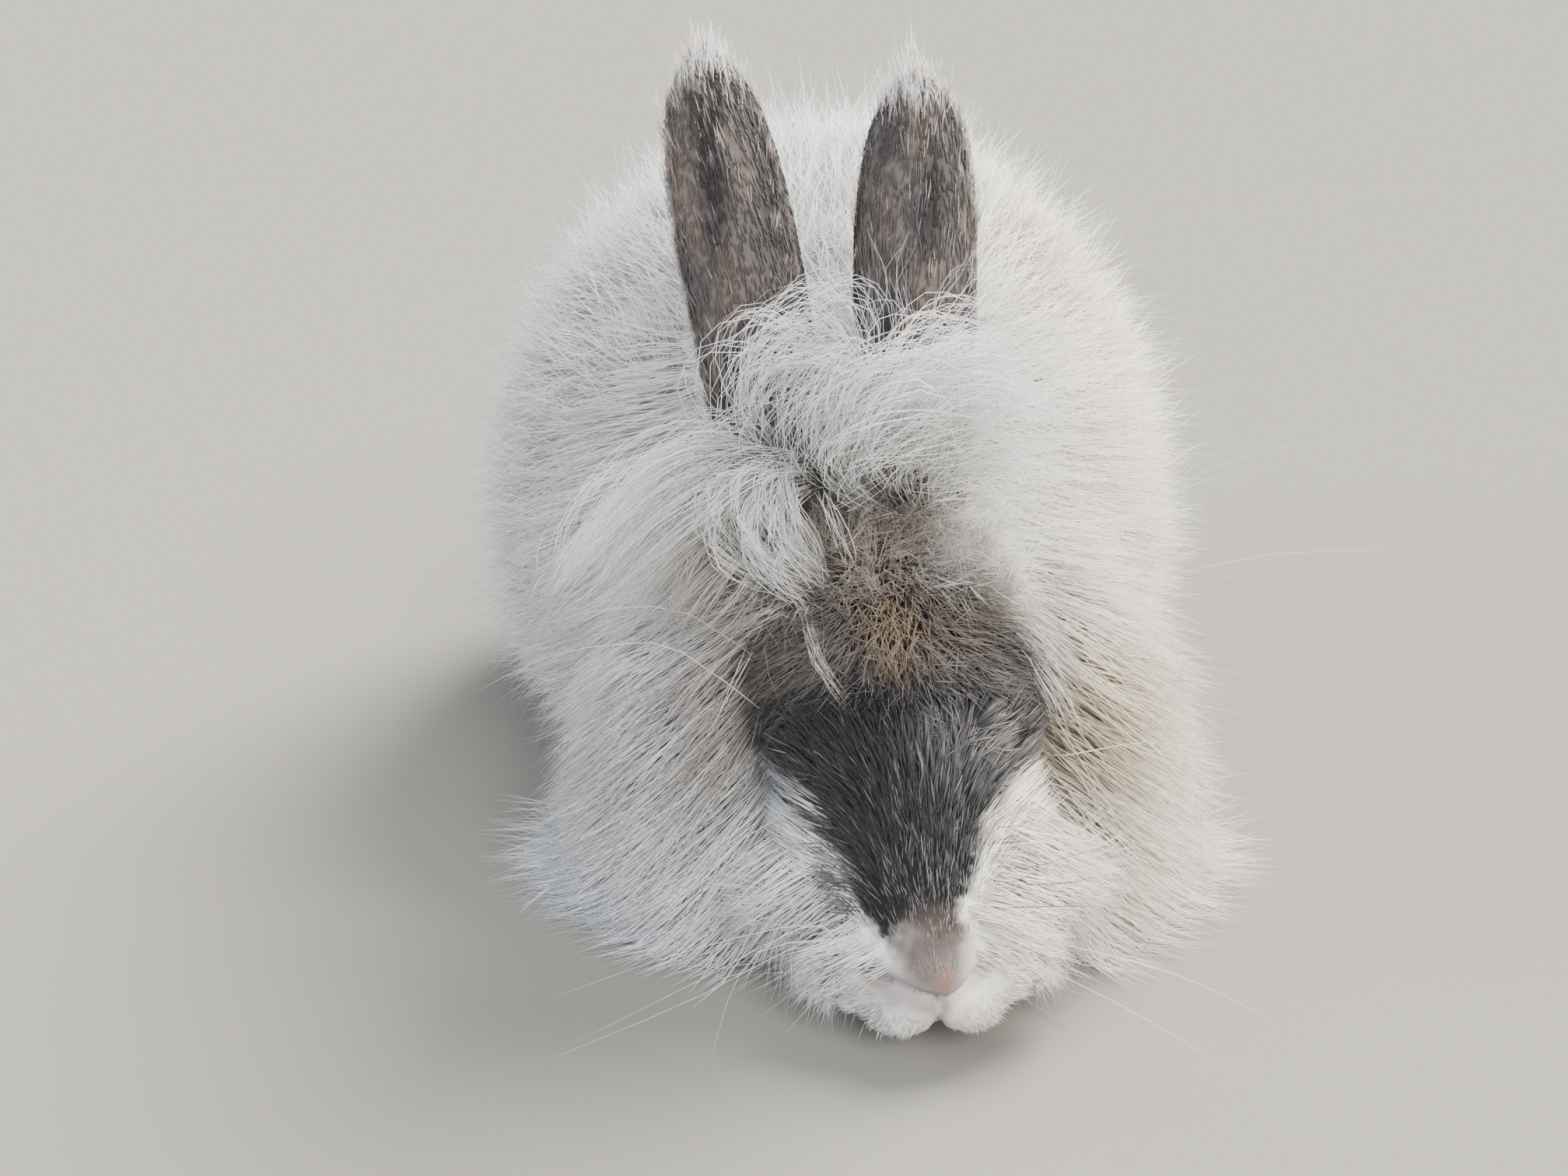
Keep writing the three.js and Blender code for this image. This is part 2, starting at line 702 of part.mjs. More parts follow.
// Forelegs: the upright part above each forefoot, up into the wool of the breast.
for (const hand of ["right", "left"]) {
  const heel = FEET["forefoot_" + hand].heel;
  const leg = sweptForm({
    origin: point(heel.x, heel.y - 2, 0),
    axis: point(0, 0.12, 1).normalize(),
    side: point(1, 0, 0),
    up: point(0, -1, 0.12).normalize(),
    stations: { at: [6, 12, 34, 48, 56], half: [0, 9, 11, 10, 0], up: [0, 9, 11, 10, 0], down: [0, 9, 12, 10, 0] },
    rings: 6,
    sides: 8,
  });
  make("foreleg_" + hand, [(grow) => leg.solid(grow)]);
}

// The neck with its ruff: long wool that stands round the head, falls over the breast and
// spreads on the floor.
const ruff = sweptForm({
  origin: point(14, -80, 0),
  axis: point(0, 0, 1),
  side: point(1, 0, 0),
  up: point(0, -1, 0),
  stations: {
    at: [0, 3, 14, 34, 56, 76, 94, 104],
    half: [0, 62, 72, 72, 66, 55, 36, 0],
    up: [0, 38, 46, 45, 41, 35, 24, 0],
    down: [0, 26, 34, 38, 40, 38, 26, 0],
  },
  rings: 10,
  sides: 20,
});

// The torso: a high rounded back over a broad belly that comes down to the floor.
const trunk = sweptForm({
  origin: point(2, 0, 82),
  axis: point(0, 1, 0),
  side: point(1, 0, 0),
  up: point(0, 0, 1),
  stations: {
    at: [-88, -80, -60, -25, 12, 50, 90, 124, 150, 164, 169],
    half: [0, 36, 64, 90, 102, 103, 96, 80, 54, 28, 0],
    up: [0, 32, 62, 96, 111, 112, 102, 80, 50, 24, 0],
    down: [0, 46, 66, 77, 79, 79, 78, 75, 58, 30, 0],
    shift: [8, 8, 6, 2, 0, 0, 0, 0, 0, 0, 0],
  },
  rings: 14,
  sides: 24,
  boxy: 0.62,
});
function ruffLocks() {
  const draw = draws(23);
  const open = (root, out) =>
    root.z > 8 && out.y < 0.8 && outsideOf(skull, root).far > 1 && outsideOf(trunk, root).far > 2;
  const locks = roots(ruff, 20.5, open, 29).map(({ root, out }) => {
    const flow = point(0.016 * (root.x - 18), 0.2, -0.8);
    flow.add(point(draw() - 0.5, draw() - 0.5, draw() - 0.5).multiplyScalar(0.45));
    return {
      root,
      out,
      lie: laid(flow, out),
      length: lerp(40, 54, draw()),
      width: lerp(24, 31, draw()),
      rise: lerp(17, 24, draw()),
      curl: lerp(-8, 8, draw()),
    };
  });
  return clearOf([skull], locks, 4);
}

make("neck", [(grow) => ruff.solid(grow), ...ruffLocks().map((w) => (grow) => lock(w, grow))]);

// The coat of the trunk: wool a finger deep, that stands off and leans back and down.
function coatLocks({ form, spacing, seed, wanted, size = 1, rise = COAT_RISE }) {
  const draw = draws(seed);
  return roots(form, spacing, wanted, seed + 1).map(({ root, out }) => {
    const flow = point(0, 0.75, -0.55).add(
      point(draw() - 0.5, draw() - 0.5, draw() - 0.5).multiplyScalar(0.9),
    );
    return {
      root,
      out,
      lie: laid(flow, out),
      length: size * lerp(40, 54, draw()),
      width: size * lerp(27, 35, draw()),
      rise: lerp(0.75, 1.1, draw()) * rise,
      curl: lerp(-8, 8, draw()),
    };
  });
}

// Hind legs: the rounded thighs folded against the flanks, in the same wool.
const thighs = [-1, 1].map((s) => egg(point(s * 66 + 2, 68, 54), point(38, 60, 50), 8, 14));
thighs.forEach((thigh, i) => {
  const s = 2 * i - 1;
  const wanted = (root, out) => root.z > 10 && s * out.x > 0.25;
  const wool = coatLocks({ form: thigh, spacing: 30, seed: 51 + s, wanted });
  make("hindleg_" + (s < 0 ? "right" : "left"), [
    (grow) => thigh.solid(grow),
    ...wool.map((w) => (grow) => lock(w, grow)),
  ]);
});

// The tail: a short brush of wool turned up against the rump.
const brush = egg(point(2, 172, 52), point(15, 13, 20), 8, 12);
const brushWool = coatLocks({ form: brush, spacing: 17, seed: 71, wanted: (root, out) => out.y > 0, size: 0.5, rise: 6 });
make("tail", [(grow) => brush.solid(grow), ...brushWool.map((w) => (grow) => lock(w, grow))]);

// The torso's own wool.
const free = (root, out) =>
  root.z > 10 && [ruff, ...thighs, brush].every((form) => outsideOf(form, root).far > 9) && out.z > -0.8;
const trunkWool = coatLocks({ form: trunk, spacing: 31.5, seed: 83, wanted: free });
make("torso", [(grow) => trunk.solid(grow), ...trunkWool.map((w) => (grow) => lock(w, grow))]);

// Colours of the coat and the bare parts.
const COLOURS = {
  cream: { color: 0xe6dfd0, roughness: 0.95 },
  grey: { color: 0x5b5653, roughness: 0.95 },
  eye: { color: 0x120d0a, roughness: 0.12 },
};
const FINISH = (name) => (name.startsWith("eye") ? "eye" : /^(ear|head)/.test(name) ? "grey" : "cream");

// The joins leave slivers along the seams. Each edge shorter than the stated length is drawn in
// to one of its ends, where that keeps the surface closed.
function withoutSlivers(places, triVerts, shortest) {
  const faces = [];
  const around = places.map(() => new Set());
  for (let i = 0; i < triVerts.length; i += 3) {
    const face = [triVerts[i], triVerts[i + 1], triVerts[i + 2]];
    faces.push(face);
    for (const corner of face) around[corner].add(face);
  }
  const neighboursOf = (corner) => new Set([...around[corner]].flat().filter((other) => other !== corner));
  const queue = faces.flatMap(([a, b, c]) => [
    [a, b],
    [b, c],
    [c, a],
  ]);
  for (const [keep, drop] of queue) {
    if (!around[keep].size || !around[drop].size) continue;
    if (places[keep].distanceTo(places[drop]) > shortest) continue;
    const near = neighboursOf(keep);
    if (!near.has(drop)) continue;
    if ([...neighboursOf(drop)].filter((other) => near.has(other)).length !== 2) continue;
    for (const face of [...around[drop]]) {
      around[drop].delete(face);
      if (face.includes(keep)) {
        for (const corner of face) around[corner].delete(face);
        face.length = 0;
      } else {
        face[face.indexOf(drop)] = keep;
        around[keep].add(face);
      }
    }
  }
  return faces.filter((face) => face.length).flat();
}

function meshOf(name, solid) {
  const made = solid.getMesh();
  const places = Array.from({ length: made.numVert }, (_, i) =>
    point(...made.vertProperties.subarray(i * made.numProp, i * made.numProp + 3)),
  );
  const geometry = new THREE.BufferGeometry();
  geometry.setAttribute("position", new THREE.Float32BufferAttribute(places.flatMap((p) => p.toArray()), 3));
  geometry.setIndex(withoutSlivers(places, made.triVerts, SHORTEST_EDGE));
  const material = new THREE.MeshStandardMaterial({ ...COLOURS[FINISH(name)], metalness: 0 });
  const mesh = new THREE.Mesh(geometry, material);
  mesh.name = name;
  return mesh;
}

const rabbit = new THREE.Group();
for (const [name, part] of parts) rabbit.add(meshOf(name, part.solid));

// The origin is on the floor, under the middle of the whole animal.
const whole = new THREE.Box3().setFromObject(rabbit);
const middle = whole.getCenter(point(0, 0, 0));
rabbit.position.set(-middle.x, -middle.y, -whole.min.z);

export default rabbit;
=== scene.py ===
import math

import bpy
import numpy as np
from mathutils import Matrix, Vector
from mathutils.kdtree import KDTree


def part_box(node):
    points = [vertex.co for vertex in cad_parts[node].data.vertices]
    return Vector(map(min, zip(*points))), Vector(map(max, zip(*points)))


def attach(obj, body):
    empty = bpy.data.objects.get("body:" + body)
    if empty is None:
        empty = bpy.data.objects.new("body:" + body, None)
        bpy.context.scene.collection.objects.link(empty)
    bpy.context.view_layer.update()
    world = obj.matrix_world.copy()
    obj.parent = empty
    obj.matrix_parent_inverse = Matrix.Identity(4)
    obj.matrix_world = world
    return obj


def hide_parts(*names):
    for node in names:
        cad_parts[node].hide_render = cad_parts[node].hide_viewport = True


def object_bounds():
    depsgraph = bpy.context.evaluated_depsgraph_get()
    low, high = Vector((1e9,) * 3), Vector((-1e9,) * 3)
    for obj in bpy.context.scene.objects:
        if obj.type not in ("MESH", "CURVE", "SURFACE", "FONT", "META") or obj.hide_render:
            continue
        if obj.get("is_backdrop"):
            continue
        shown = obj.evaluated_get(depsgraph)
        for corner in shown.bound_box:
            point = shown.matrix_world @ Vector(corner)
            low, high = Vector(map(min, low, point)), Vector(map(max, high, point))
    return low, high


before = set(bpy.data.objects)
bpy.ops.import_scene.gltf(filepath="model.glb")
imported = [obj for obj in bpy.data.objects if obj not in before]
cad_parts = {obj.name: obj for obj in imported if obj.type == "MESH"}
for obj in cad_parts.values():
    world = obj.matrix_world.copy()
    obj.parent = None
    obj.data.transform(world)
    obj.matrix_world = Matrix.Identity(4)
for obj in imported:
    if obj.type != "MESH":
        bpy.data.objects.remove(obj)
cad_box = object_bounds()

# The body under the coat: head, ears, trunk, thighs, legs and feet, modelled to the animal's
# bare shape and cast in one piece. The wool and the fur are set into it afterwards.
MM = 0.001
MUZZLE = np.array([21.5, -167.5, 13.8])
EYE = {"back": 64.0, "side": 21.0, "up": 10.0, "facing": 24.0, "radius": 8.4}


def turn_about(axis, degrees):
    return np.array(Matrix.Rotation(math.radians(degrees), 3, axis))


head_turn = turn_about("Z", 5) @ turn_about("X", 38) @ turn_about("Y", -5)
head_side, head_back, head_up = head_turn.T


def on_head(back, side, up):
    """A place on the head, given back from the muzzle, to the animal's left, and up."""
    back, side, up = np.broadcast_arrays(*(np.asarray(v, float) for v in (back, side, up)))
    return MUZZLE + back[..., None] * head_back + side[..., None] * head_side + up[..., None] * head_up


def head_place(points):
    """How far back, to the left and up on the head each point is."""
    away = points - MUZZLE
    return away @ head_back, away @ head_side, away @ head_up


eye_low, eye_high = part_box("eye_left")
eye_middle = np.array((eye_low + eye_high) / 2) / MM
to_floor_frame = eye_middle - on_head(EYE["back"], EYE["side"], EYE["up"])


def in_metres(points):
    return (np.asarray(points, float) + to_floor_frame) * MM


def track(places, values):
    """A value that runs smoothly through the stated values at the stated places."""
    places, values = np.array(places, float), np.array(values, float)
    ends = np.concatenate([[2 * values[0] - values[1]], values, [2 * values[-1] - values[-2]]])

    def at(place):
        place = np.clip(place, places[0], places[-1])
        i = np.clip(np.searchsorted(places, place, side="right") - 1, 0, len(places) - 2)
        s = (place - places[i]) / (places[i + 1] - places[i])
        before, here, there, after = ends[i], ends[i + 1], ends[i + 2], ends[i + 3]
        leave, arrive = 0.5 * (there - before), 0.5 * (after - here)
        return (
            (2 * s**3 - 3 * s**2 + 1) * here
            + (s**3 - 2 * s**2 + s) * leave
            + (3 * s**2 - 2 * s**3) * there
            + (s**3 - s**2) * arrive
        )

    return at


def held(value):
    """The value, held between 0 and 1."""
    return np.clip(value, 0, 1)


class Swept:
    """A form along a straight axis: its half width, reach up and reach down at stations."""

    def __init__(self, origin, axis, side, up, at, half, above, below, shift=None, boxy=1.0):
        self.origin, self.axis = np.array(origin, float), np.array(axis, float)
        self.side, self.up = np.array(side, float), np.array(up, float)
        self.ends = (at[0], at[-1])
        self.half, self.above, self.below = track(at, half), track(at, above), track(at, below)
        self.shift = track(at, shift) if shift else lambda place: 0 * place
        self.boxy = boxy

    def grid(self, rings=52, sides=60):
        u = (1 - np.cos(np.linspace(0, np.pi, rings + 1))) / 2
        place = self.ends[0] + (self.ends[1] - self.ends[0]) * u[:, None]
        angle = np.linspace(0, 2 * np.pi, sides, endpoint=False)[None, :]
        cos, sin = np.cos(angle), np.sin(angle)
        power = np.where(sin < 0, self.boxy, 1.0)
        across = np.sign(cos) * np.abs(cos) ** power * np.maximum(self.half(place), 0) + self.shift(place)
        lifted = np.maximum(self.above(place), 0) * sin
        lowered = np.maximum(self.below(place), 0) * np.abs(sin) ** power
        rise = np.where(sin > 0, lifted, -lowered)
        return (
            self.origin
            + place[..., None] * self.axis
            + across[..., None] * self.side
            + rise[..., None] * self.up
        )

    def reach(self, points):
        """How far out each point is: 1 on the form's surface, less inside."""
        away = points - self.origin
        place = away @ self.axis
        across, rise = away @ self.side - self.shift(place), away @ self.up
        half = np.maximum(self.half(place), 0.1)
        tall = np.maximum(np.where(rise > 0, self.above(place), self.below(place)), 0.1)
        outside = (place < self.ends[0]) | (place > self.ends[1])
        return np.hypot(across / half, rise / tall) + 9.0 * outside


def ellipsoid(centre, radii, rings, sides):
    """Places along, across and up on an ellipsoid that has its poles along."""
    turn = np.linspace(0, np.pi, rings + 1)[:, None]
    angle = np.linspace(0, 2 * np.pi, sides, endpoint=False)[None, :]
    return (
        centre[0] - radii[0] * np.cos(turn) + 0 * angle,
        centre[1] + radii[1] * np.sin(turn) * np.cos(angle),
        centre[2] + radii[2] * np.sin(turn) * np.sin(angle),
    )


def ball(centre, radii):
    """An ellipsoid along the head's own directions."""
    return on_head(*ellipsoid(centre, radii, 24, 28))


def egg(centre, radii):
    """An ellipsoid with its long way from head to tail."""
    (x, y, z), (wide, long, tall) = centre, radii
    along, across, up = ellipsoid((y, x, z), (long, wide, tall), 28, 32)
    return np.stack([across, along, up], axis=-1)


def skin_of(grid, closes=False):
    """The points and faces of a form through rings of points."""
    rings, sides = grid.shape[:2]
    faces = []
    for i in range(rings if closes else rings - 1):
        k = (i + 1) % rings
        for j in range(sides):
            m = (j + 1) % sides
            faces.append((i * sides + j, i * sides + m, k * sides + m, k * sides + j))
    if not closes:
        faces.append(tuple(range(sides - 1, -1, -1)))
        faces.append(tuple((rings - 1) * sides + j for j in range(sides)))
    return grid.reshape(-1, 3), faces


def joined(name, forms):
    """One object from several closed forms, still overlapping."""
    points, faces, count = [], [], 0
    for form_points, form_faces in forms:
        points.append(in_metres(form_points))
        faces.extend(tuple(count + i for i in face) for face in form_faces)
        count += len(form_points)
    mesh = bpy.data.meshes.new(name)
    mesh.from_pydata(np.concatenate(points).tolist(), [], faces)
    made = bpy.data.objects.new(name, mesh)
    bpy.context.scene.collection.objects.link(made)
    return made


def settled(made):
    """The object's modifiers applied."""
    graph = bpy.context.evaluated_depsgraph_get()
    mesh = bpy.data.meshes.new_from_object(made.evaluated_get(graph))
    made.modifiers.clear()
    made.data = mesh
    return made


def cast(name, forms, grain):
    """The forms melted into one closed surface of the stated grain."""
    made = joined(name, forms)
    melt = made.modifiers.new("melt", "REMESH")
    melt.mode = "VOXEL"
    melt.voxel_size = grain * MM
    return settled(made)


def read(items, what, across, kind=np.float32):
    flat = np.empty(len(items) * across, kind)
    items.foreach_get(what, flat)
    return flat.reshape(-1, across)


def points_of(mesh):
    return read(mesh.vertices, "co", 3).astype(float) / MM - to_floor_frame


def normals_of(mesh):
    return read(mesh.vertex_normals, "vector", 3).astype(float)


def move_to(mesh, points):
    mesh.vertices.foreach_set("co", in_metres(points).astype(np.float32).ravel())
    mesh.update()


def eased(mesh, rounds):
    """The surface rubbed smooth."""
    a, b = read(mesh.edges, "vertices", 2, np.int32).T
    points = points_of(mesh)
    count = np.bincount(np.concatenate([a, b]), minlength=len(points))[:, None]
    for _ in range(rounds):
        mean = np.zeros_like(points)
        for axis in range(3):
            mean[:, axis] += np.bincount(a, points[b, axis], len(points))
            mean[:, axis] += np.bincount(b, points[a, axis], len(points))
        points += 0.6 * (mean / count - points)
    move_to(mesh, points)


skull = Swept(
    MUZZLE,
    head_back,
    head_side,
    head_up,
    at=[-4, -3, 0, 5, 12, 22, 36, 48, 60, 76, 92, 106, 118, 124],
    half=[0, 6, 9.5, 12.5, 16, 19.5, 23.5, 27.5, 31, 33, 33, 29, 19, 0],
    above=[0, 4, 6.5, 8.5, 10.5, 13, 17, 21.5, 25, 28, 29.5, 27.5, 18, 0],
    below=[0, 6, 9.5, 12.5, 15.5, 19, 24, 27.5, 30, 31, 29, 25, 16, 0],
)
ruff = Swept(
    (14, -80, 0),
    (0, 0, 1),
    (1, 0, 0),
    (0, -1, 0),
    at=[0, 3, 14, 34, 56, 76, 94, 104],
    half=[0, 62, 72, 72, 66, 55, 36, 0],
    above=[0, 38, 46, 45, 41, 35, 24, 0],
    below=[0, 26, 34, 38, 40, 38, 26, 0],
)
trunk = Swept(
    (2, 0, 82),
    (0, 1, 0),
    (1, 0, 0),
    (0, 0, 1),
    at=[-88, -80, -60, -25, 12, 50, 90, 124, 150, 164, 169],
    half=[0, 36, 64, 90, 102, 103, 96, 80, 54, 28, 0],
    above=[0, 32, 62, 96, 111, 112, 102, 80, 50, 24, 0],
    below=[0, 46, 66, 77, 79, 79, 78, 75, 58, 30, 0],
    shift=[8, 8, 6, 2, 0, 0, 0, 0, 0, 0, 0],
    boxy=0.62,
)
THIGHS = [((66 * s + 2, 68, 54), (38, 60, 50)) for s in (-1, 1)]
BRUSH = ((2, 172, 52), (15, 13, 20))
FEET = {
    "hindfoot_right": ((-72, 74, 0), (-77, -8, 0), 13, 17),
    "hindfoot_left": ((76, 74, 0), (81, -8, 0), 13, 17),
    "forefoot_right": ((-4, -80, 0), (-5, -112, 0), 11, 16),
    "forefoot_left": ((28, -80, 0), (29, -112, 0), 11, 16),
}


def foot_form(heel, toes, half, height):
    heel, toes = np.array(heel, float), np.array(toes, float)
    length = np.linalg.norm(toes - heel)
    along = (toes - heel) / length
    side = np.cross(along, (0, 0, 1))
    return Swept(
        heel,
        along,
        side,
        (0, 0, 1),
        at=[-2, 3, 0.3 * length, 0.7 * length, 0.92 * length, length + 4],
        half=[0, 0.62 * half, 0.8 * half, half, 0.95 * half, 0],
        above=[0, 0.85 * height, height, 0.8 * height, 0.6 * height, 0],
        below=[0, 1, 1, 1, 1, 0],
    )


def foreleg_form(heel):
    return Swept(
        (heel[0], heel[1] - 2, 0),
        (0, 0.1191, 0.9929),
        (1, 0, 0),
        (0, -0.9929, 0.1191),
        at=[6, 12, 34, 48, 56],
        half=[0, 9, 11, 10, 0],
        above=[0, 9, 11, 10, 0],
        below=[0, 9, 12, 10, 0],
    )


class Ear:
    """A rolled leaf standing on the back of the head, open to the back and outwards."""

    def __init__(self, base, tip, opening, length):
        self.base, self.length = np.array(base, float), length
        axis = np.array(tip, float) - self.base
        self.axis = axis / np.linalg.norm(axis)
        away = np.array(opening, float)
        away -= (away @ self.axis) * self.axis
        self.away = away / np.linalg.norm(away)
        self.side = np.cross(self.axis, self.away)
        self.radius = track([0, 0.12, 0.35, 0.6, 0.8, 0.92, 1], [8, 10, 12.6, 14, 13.6, 10.6, 3.5])
        self.wrap = track([0, 0.15, 0.4, 0.7, 0.9, 1], [165, 150, 122, 100, 88, 75])

    def at(self, t, across, depth=0.0):
        t, across, depth = np.broadcast_arrays(*(np.asarray(v, float) for v in (t, across, depth)))
        angle = np.radians(self.wrap(t)) * across
        out = self.radius(t) + depth
        back = -5 * np.sin(np.pi * t) - out * np.cos(angle) + 0.4 * self.radius(t)
        return (
            self.base
            + (self.length * t)[..., None] * self.axis
            + back[..., None] * self.away
            + (out * np.sin(angle))[..., None] * self.side
        )

    def leaf(self, steps=56, across=30, wall=1.7):
        t = np.linspace(-0.03, 0.985, steps)[:, None]
        over = np.linspace(-1, 1, across)[None, :]
        thick = 0.5 * wall * (1 - 0.5 * t) * (1 - 0.6 * np.abs(over) ** 4)
        rows = [self.at(t, 0.97 * over, thick), self.at(t, 0.97 * over, -thick)[:, ::-1]]
        return np.concatenate(rows, axis=1)

    def share(self, points):
        """How far up the ear each point is, and how far round from the middle of its back."""
        away = points - self.base
        t = (away @ self.axis) / self.length
        inside = held(t)
        back = away @ self.away + 5 * np.sin(np.pi * inside) - 0.4 * self.radius(inside)
        side = away @ self.side
        return t, np.degrees(np.arctan2(side, -back)) / self.wrap(inside), np.hypot(back, side)


ears = {
    "right": Ear((-7, -104, 84), (-31, -81, 214), (-0.5, 1, 0), 134),
    "left": Ear((20.5, -104, 82), (18.5, -81, 208), (0.5, 1, 0), 129),
}


def lid_form(hand):
    """The rim round an eye, thickest over the top."""
    around = np.linspace(0, 2 * np.pi, 40, endpoint=False)[:, None]
    turn = np.linspace(0, 2 * np.pi, 12, endpoint=False)[None, :]
    level, rise = math.cos(math.radians(EYE["facing"])), math.sin(math.radians(EYE["facing"]))
    thick = np.where(np.sin(around) > 0, 2.5, 1.8)
    reach = 6.5 + 0.8 * thick * np.cos(turn)
    lift = 4.6 + thick * np.sin(turn)
    return on_head(
        EYE["back"] + 1.05 * reach * np.cos(around),
        hand * (EYE["side"] + lift * level - 0.86 * reach * np.sin(around) * rise),
        EYE["up"] + lift * rise + 0.86 * reach * np.sin(around) * level,
    )


body = cast(
    "body",
    [
        skin_of(ruff.grid()),
        skin_of(trunk.grid()),
        skin_of(egg(*BRUSH)),
        *(skin_of(egg(*thigh)) for thigh in THIGHS),
        *(skin_of(foot_form(*foot).grid(30, 24)) for foot in FEET.values()),
        *(skin_of(foreleg_form(FEET["forefoot_" + hand][0]).grid(24, 24)) for hand in ("right", "left")),
    ],
    3.2,
)
eased(body.data, 4)
points = points_of(body.data)
sunk = np.where(points[:, 2] < 20, 1.0, 3.0)[:, None]
points = points - sunk * normals_of(body.data)
points[:, 2] = np.maximum(points[:, 2], 0.6)
move_to(body.data, points)

# On the skull sit the nose, the chin, and on each side a lip, a whisker pad and a cheek.
FACE_BALLS = [
    ((6.4, 0, 5.2), (6.4, 8.6, 4.6)),
    ((9, 0, -12), (9, 8, 5.5)),
    ((4.5, 0, -3.4), (7, 7, 7)),
    *(((2.8, 6.8 * s, -3.4), (7.2, 8.6, 7.8)) for s in (-1, 1)),
    *(((13, 12.5 * s, -3), (12.5, 11, 9.5)) for s in (-1, 1)),
    *(((46, 16 * s, -9), (25, 15, 19)) for s in (-1, 1)),
]
head = cast(
    "head_form",
    [
        skin_of(skull.grid()),
        *(skin_of(ball(*sizes)) for sizes in FACE_BALLS),
        *(skin_of(lid_form(s), closes=True) for s in (-1, 1)),
    ],
    1.0,
)
eased(head.data, 3)

# Creases pressed into the muzzle: the nostrils, the parting of the upper lip and the mouth.
CREASES = {
    "right_nostril": (
        [(0, -0.5, 5.4), (0.8, -4.5, 5.8), (3.2, -9.2, 5.8), (7, -13, 4.8), (12, -16, 3.4)], 1.5, 5.0
    ),
    "left_nostril": (
        [(0, 0.5, 5.4), (0.8, 4.5, 5.8), (4.6, 9.2, 5.8), (9.5, 13, 4.8), (16, 16.5, 2.4)], 1.1, 3.0
    ),
    "parting": ([(-0.5, 0, 5.6), (-2.6, 0, 2), (-3.4, 0, -3), (-1.5, 0, -10.5)], 1.2, 3.0),
    "mouth": (
        [(15, -16, -9.5), (6, -9.5, -12.6), (-1, 0, -10.6), (6, 9.5, -12.6), (15, 16, -9.5)], 1.3, 2.8
    ),
}


def along_line(places, steps=60):
    marks = np.arange(len(places))
    columns = [track(marks, [p[axis] for p in places]) for axis in range(3)]
    share = np.linspace(0, len(places) - 1, steps)
    return np.stack([column(share) for column in columns], axis=-1)


def distance_to_line(points, line):
    return np.min(np.linalg.norm(points[:, None, :] - line[None, :, :], axis=-1), axis=1)


points = points_of(head.data)
back, side, up = head_place(points)
front = back < 28
own = np.stack([back, side, up], axis=-1)[front]
sunk = np.interp(back, [6, 20], [0.8, 1.5])
for places, half, deep in CREASES.values():
    near = distance_to_line(own, along_line(places))
    sunk[front] += deep * np.exp(-((near / half) ** 2))
move_to(head.data, points - sunk[:, None] * normals_of(head.data))

skin = body
skin.name = "skin"
ear_objects = [joined("leaf_" + name, [skin_of(ear.leaf())]) for name, ear in ears.items()]
for part in (head, *ear_objects):
    weld = skin.modifiers.new("weld", "BOOLEAN")
    weld.operation = "UNION"
    weld.solver = "MANIFOLD"
    weld.object = part
settled(skin)
for part in (head, *ear_objects):
    bpy.data.objects.remove(part)
skin.data.materials.clear()
skin.data.polygons.foreach_set("use_smooth", [True] * len(skin.data.polygons))

bpy.context.view_layer.objects.active = skin
skin.select_set(True)
skin.data.uv_layers.new(name="OFBake")
bpy.ops.object.mode_set(mode="EDIT")
bpy.ops.mesh.select_all(action="SELECT")
bpy.ops.uv.smart_project(angle_limit=math.radians(62), island_margin=0.004)
bpy.ops.object.mode_set(mode="OBJECT")


# The colours of the coat: white wool with a painted warm light on the sunlit left and a painted cool
# shade on the right, with a dark mask, a brown brow, a tan streak on the forehead and grizzled
# ears, and painted shade in a fold of the right cheek, in the creases of the muzzle and under the
# right nostril. Skin and hairs share them.
def rgb(red, green, blue):
    """A colour as eyes see it, from 0 to 255, as light."""
    share = np.array([red, green, blue]) / 255
    return np.where(share <= 0.04045, share / 12.92, ((share + 0.055) / 1.055) ** 2.4)


WHITE = rgb(251, 250, 248)
CREAM = rgb(251, 241, 222)
COOL_WHITE = rgb(232, 234, 238)
CHARCOAL = rgb(24, 24, 27)
SILVER = rgb(150, 147, 146)
SLATE = rgb(110, 105, 105)
AGOUTI = rgb(98, 86, 78)
BROWN = rgb(132, 120, 112)
TAN = rgb(158, 134, 108)
STRAW = rgb(240, 218, 166)
PINK = rgb(216, 184, 178)
MAUVE = rgb(86, 73, 69)
RUST = rgb(140, 96, 88)
# A dark brown that serves only as painted shade.
UMBER_SHADE = rgb(84, 66, 60)


def blot(points, size, seed):
    """Soft irregular patches from -1 to 1, of about the stated size."""
    draw = np.random.default_rng(seed)
    total = np.zeros(len(points))
    for _ in range(7):
        way = draw.normal(size=3)
        way *= draw.uniform(0.7, 1.5) * 2 * np.pi / size / np.linalg.norm(way)
        total += np.sin(points @ way + draw.uniform(0, 6.28))
    return np.clip(total / 3, -1, 1)


def off_centre(back, side, up, centre, size):
    """How far out places on the head are in an ellipsoid: 1 on its surface, less inside."""
    return np.sqrt(
        ((back - centre[0]) / size[0]) ** 2
        + ((side - centre[1]) / size[1]) ** 2
        + ((up - centre[2]) / size[2]) ** 2
    )


def patch(back, side, up, centre, size, soft=0.35):
    """A patch on the head: 1 in its middle, 0 outside, with a soft rim."""
    return held((1 + soft - off_centre(back, side, up, centre, size)) / (2 * soft))


def blend(base, over, share):
    return base + (over - base) * share[:, None]


MASK_MIDDLE = track([0, 22, 48, 72], [-1, -2.5, -1, 3])
MASK_HALF = track(
    [4, 9, 14, 22, 30, 36, 43, 50, 60, 70, 84], [3, 6, 9, 12.5, 15.5, 18, 21, 26, 34, 38, 38]
)
CREASE_LINES = {name: along_line(places) for name, (places, half, deep) in CREASES.items()}


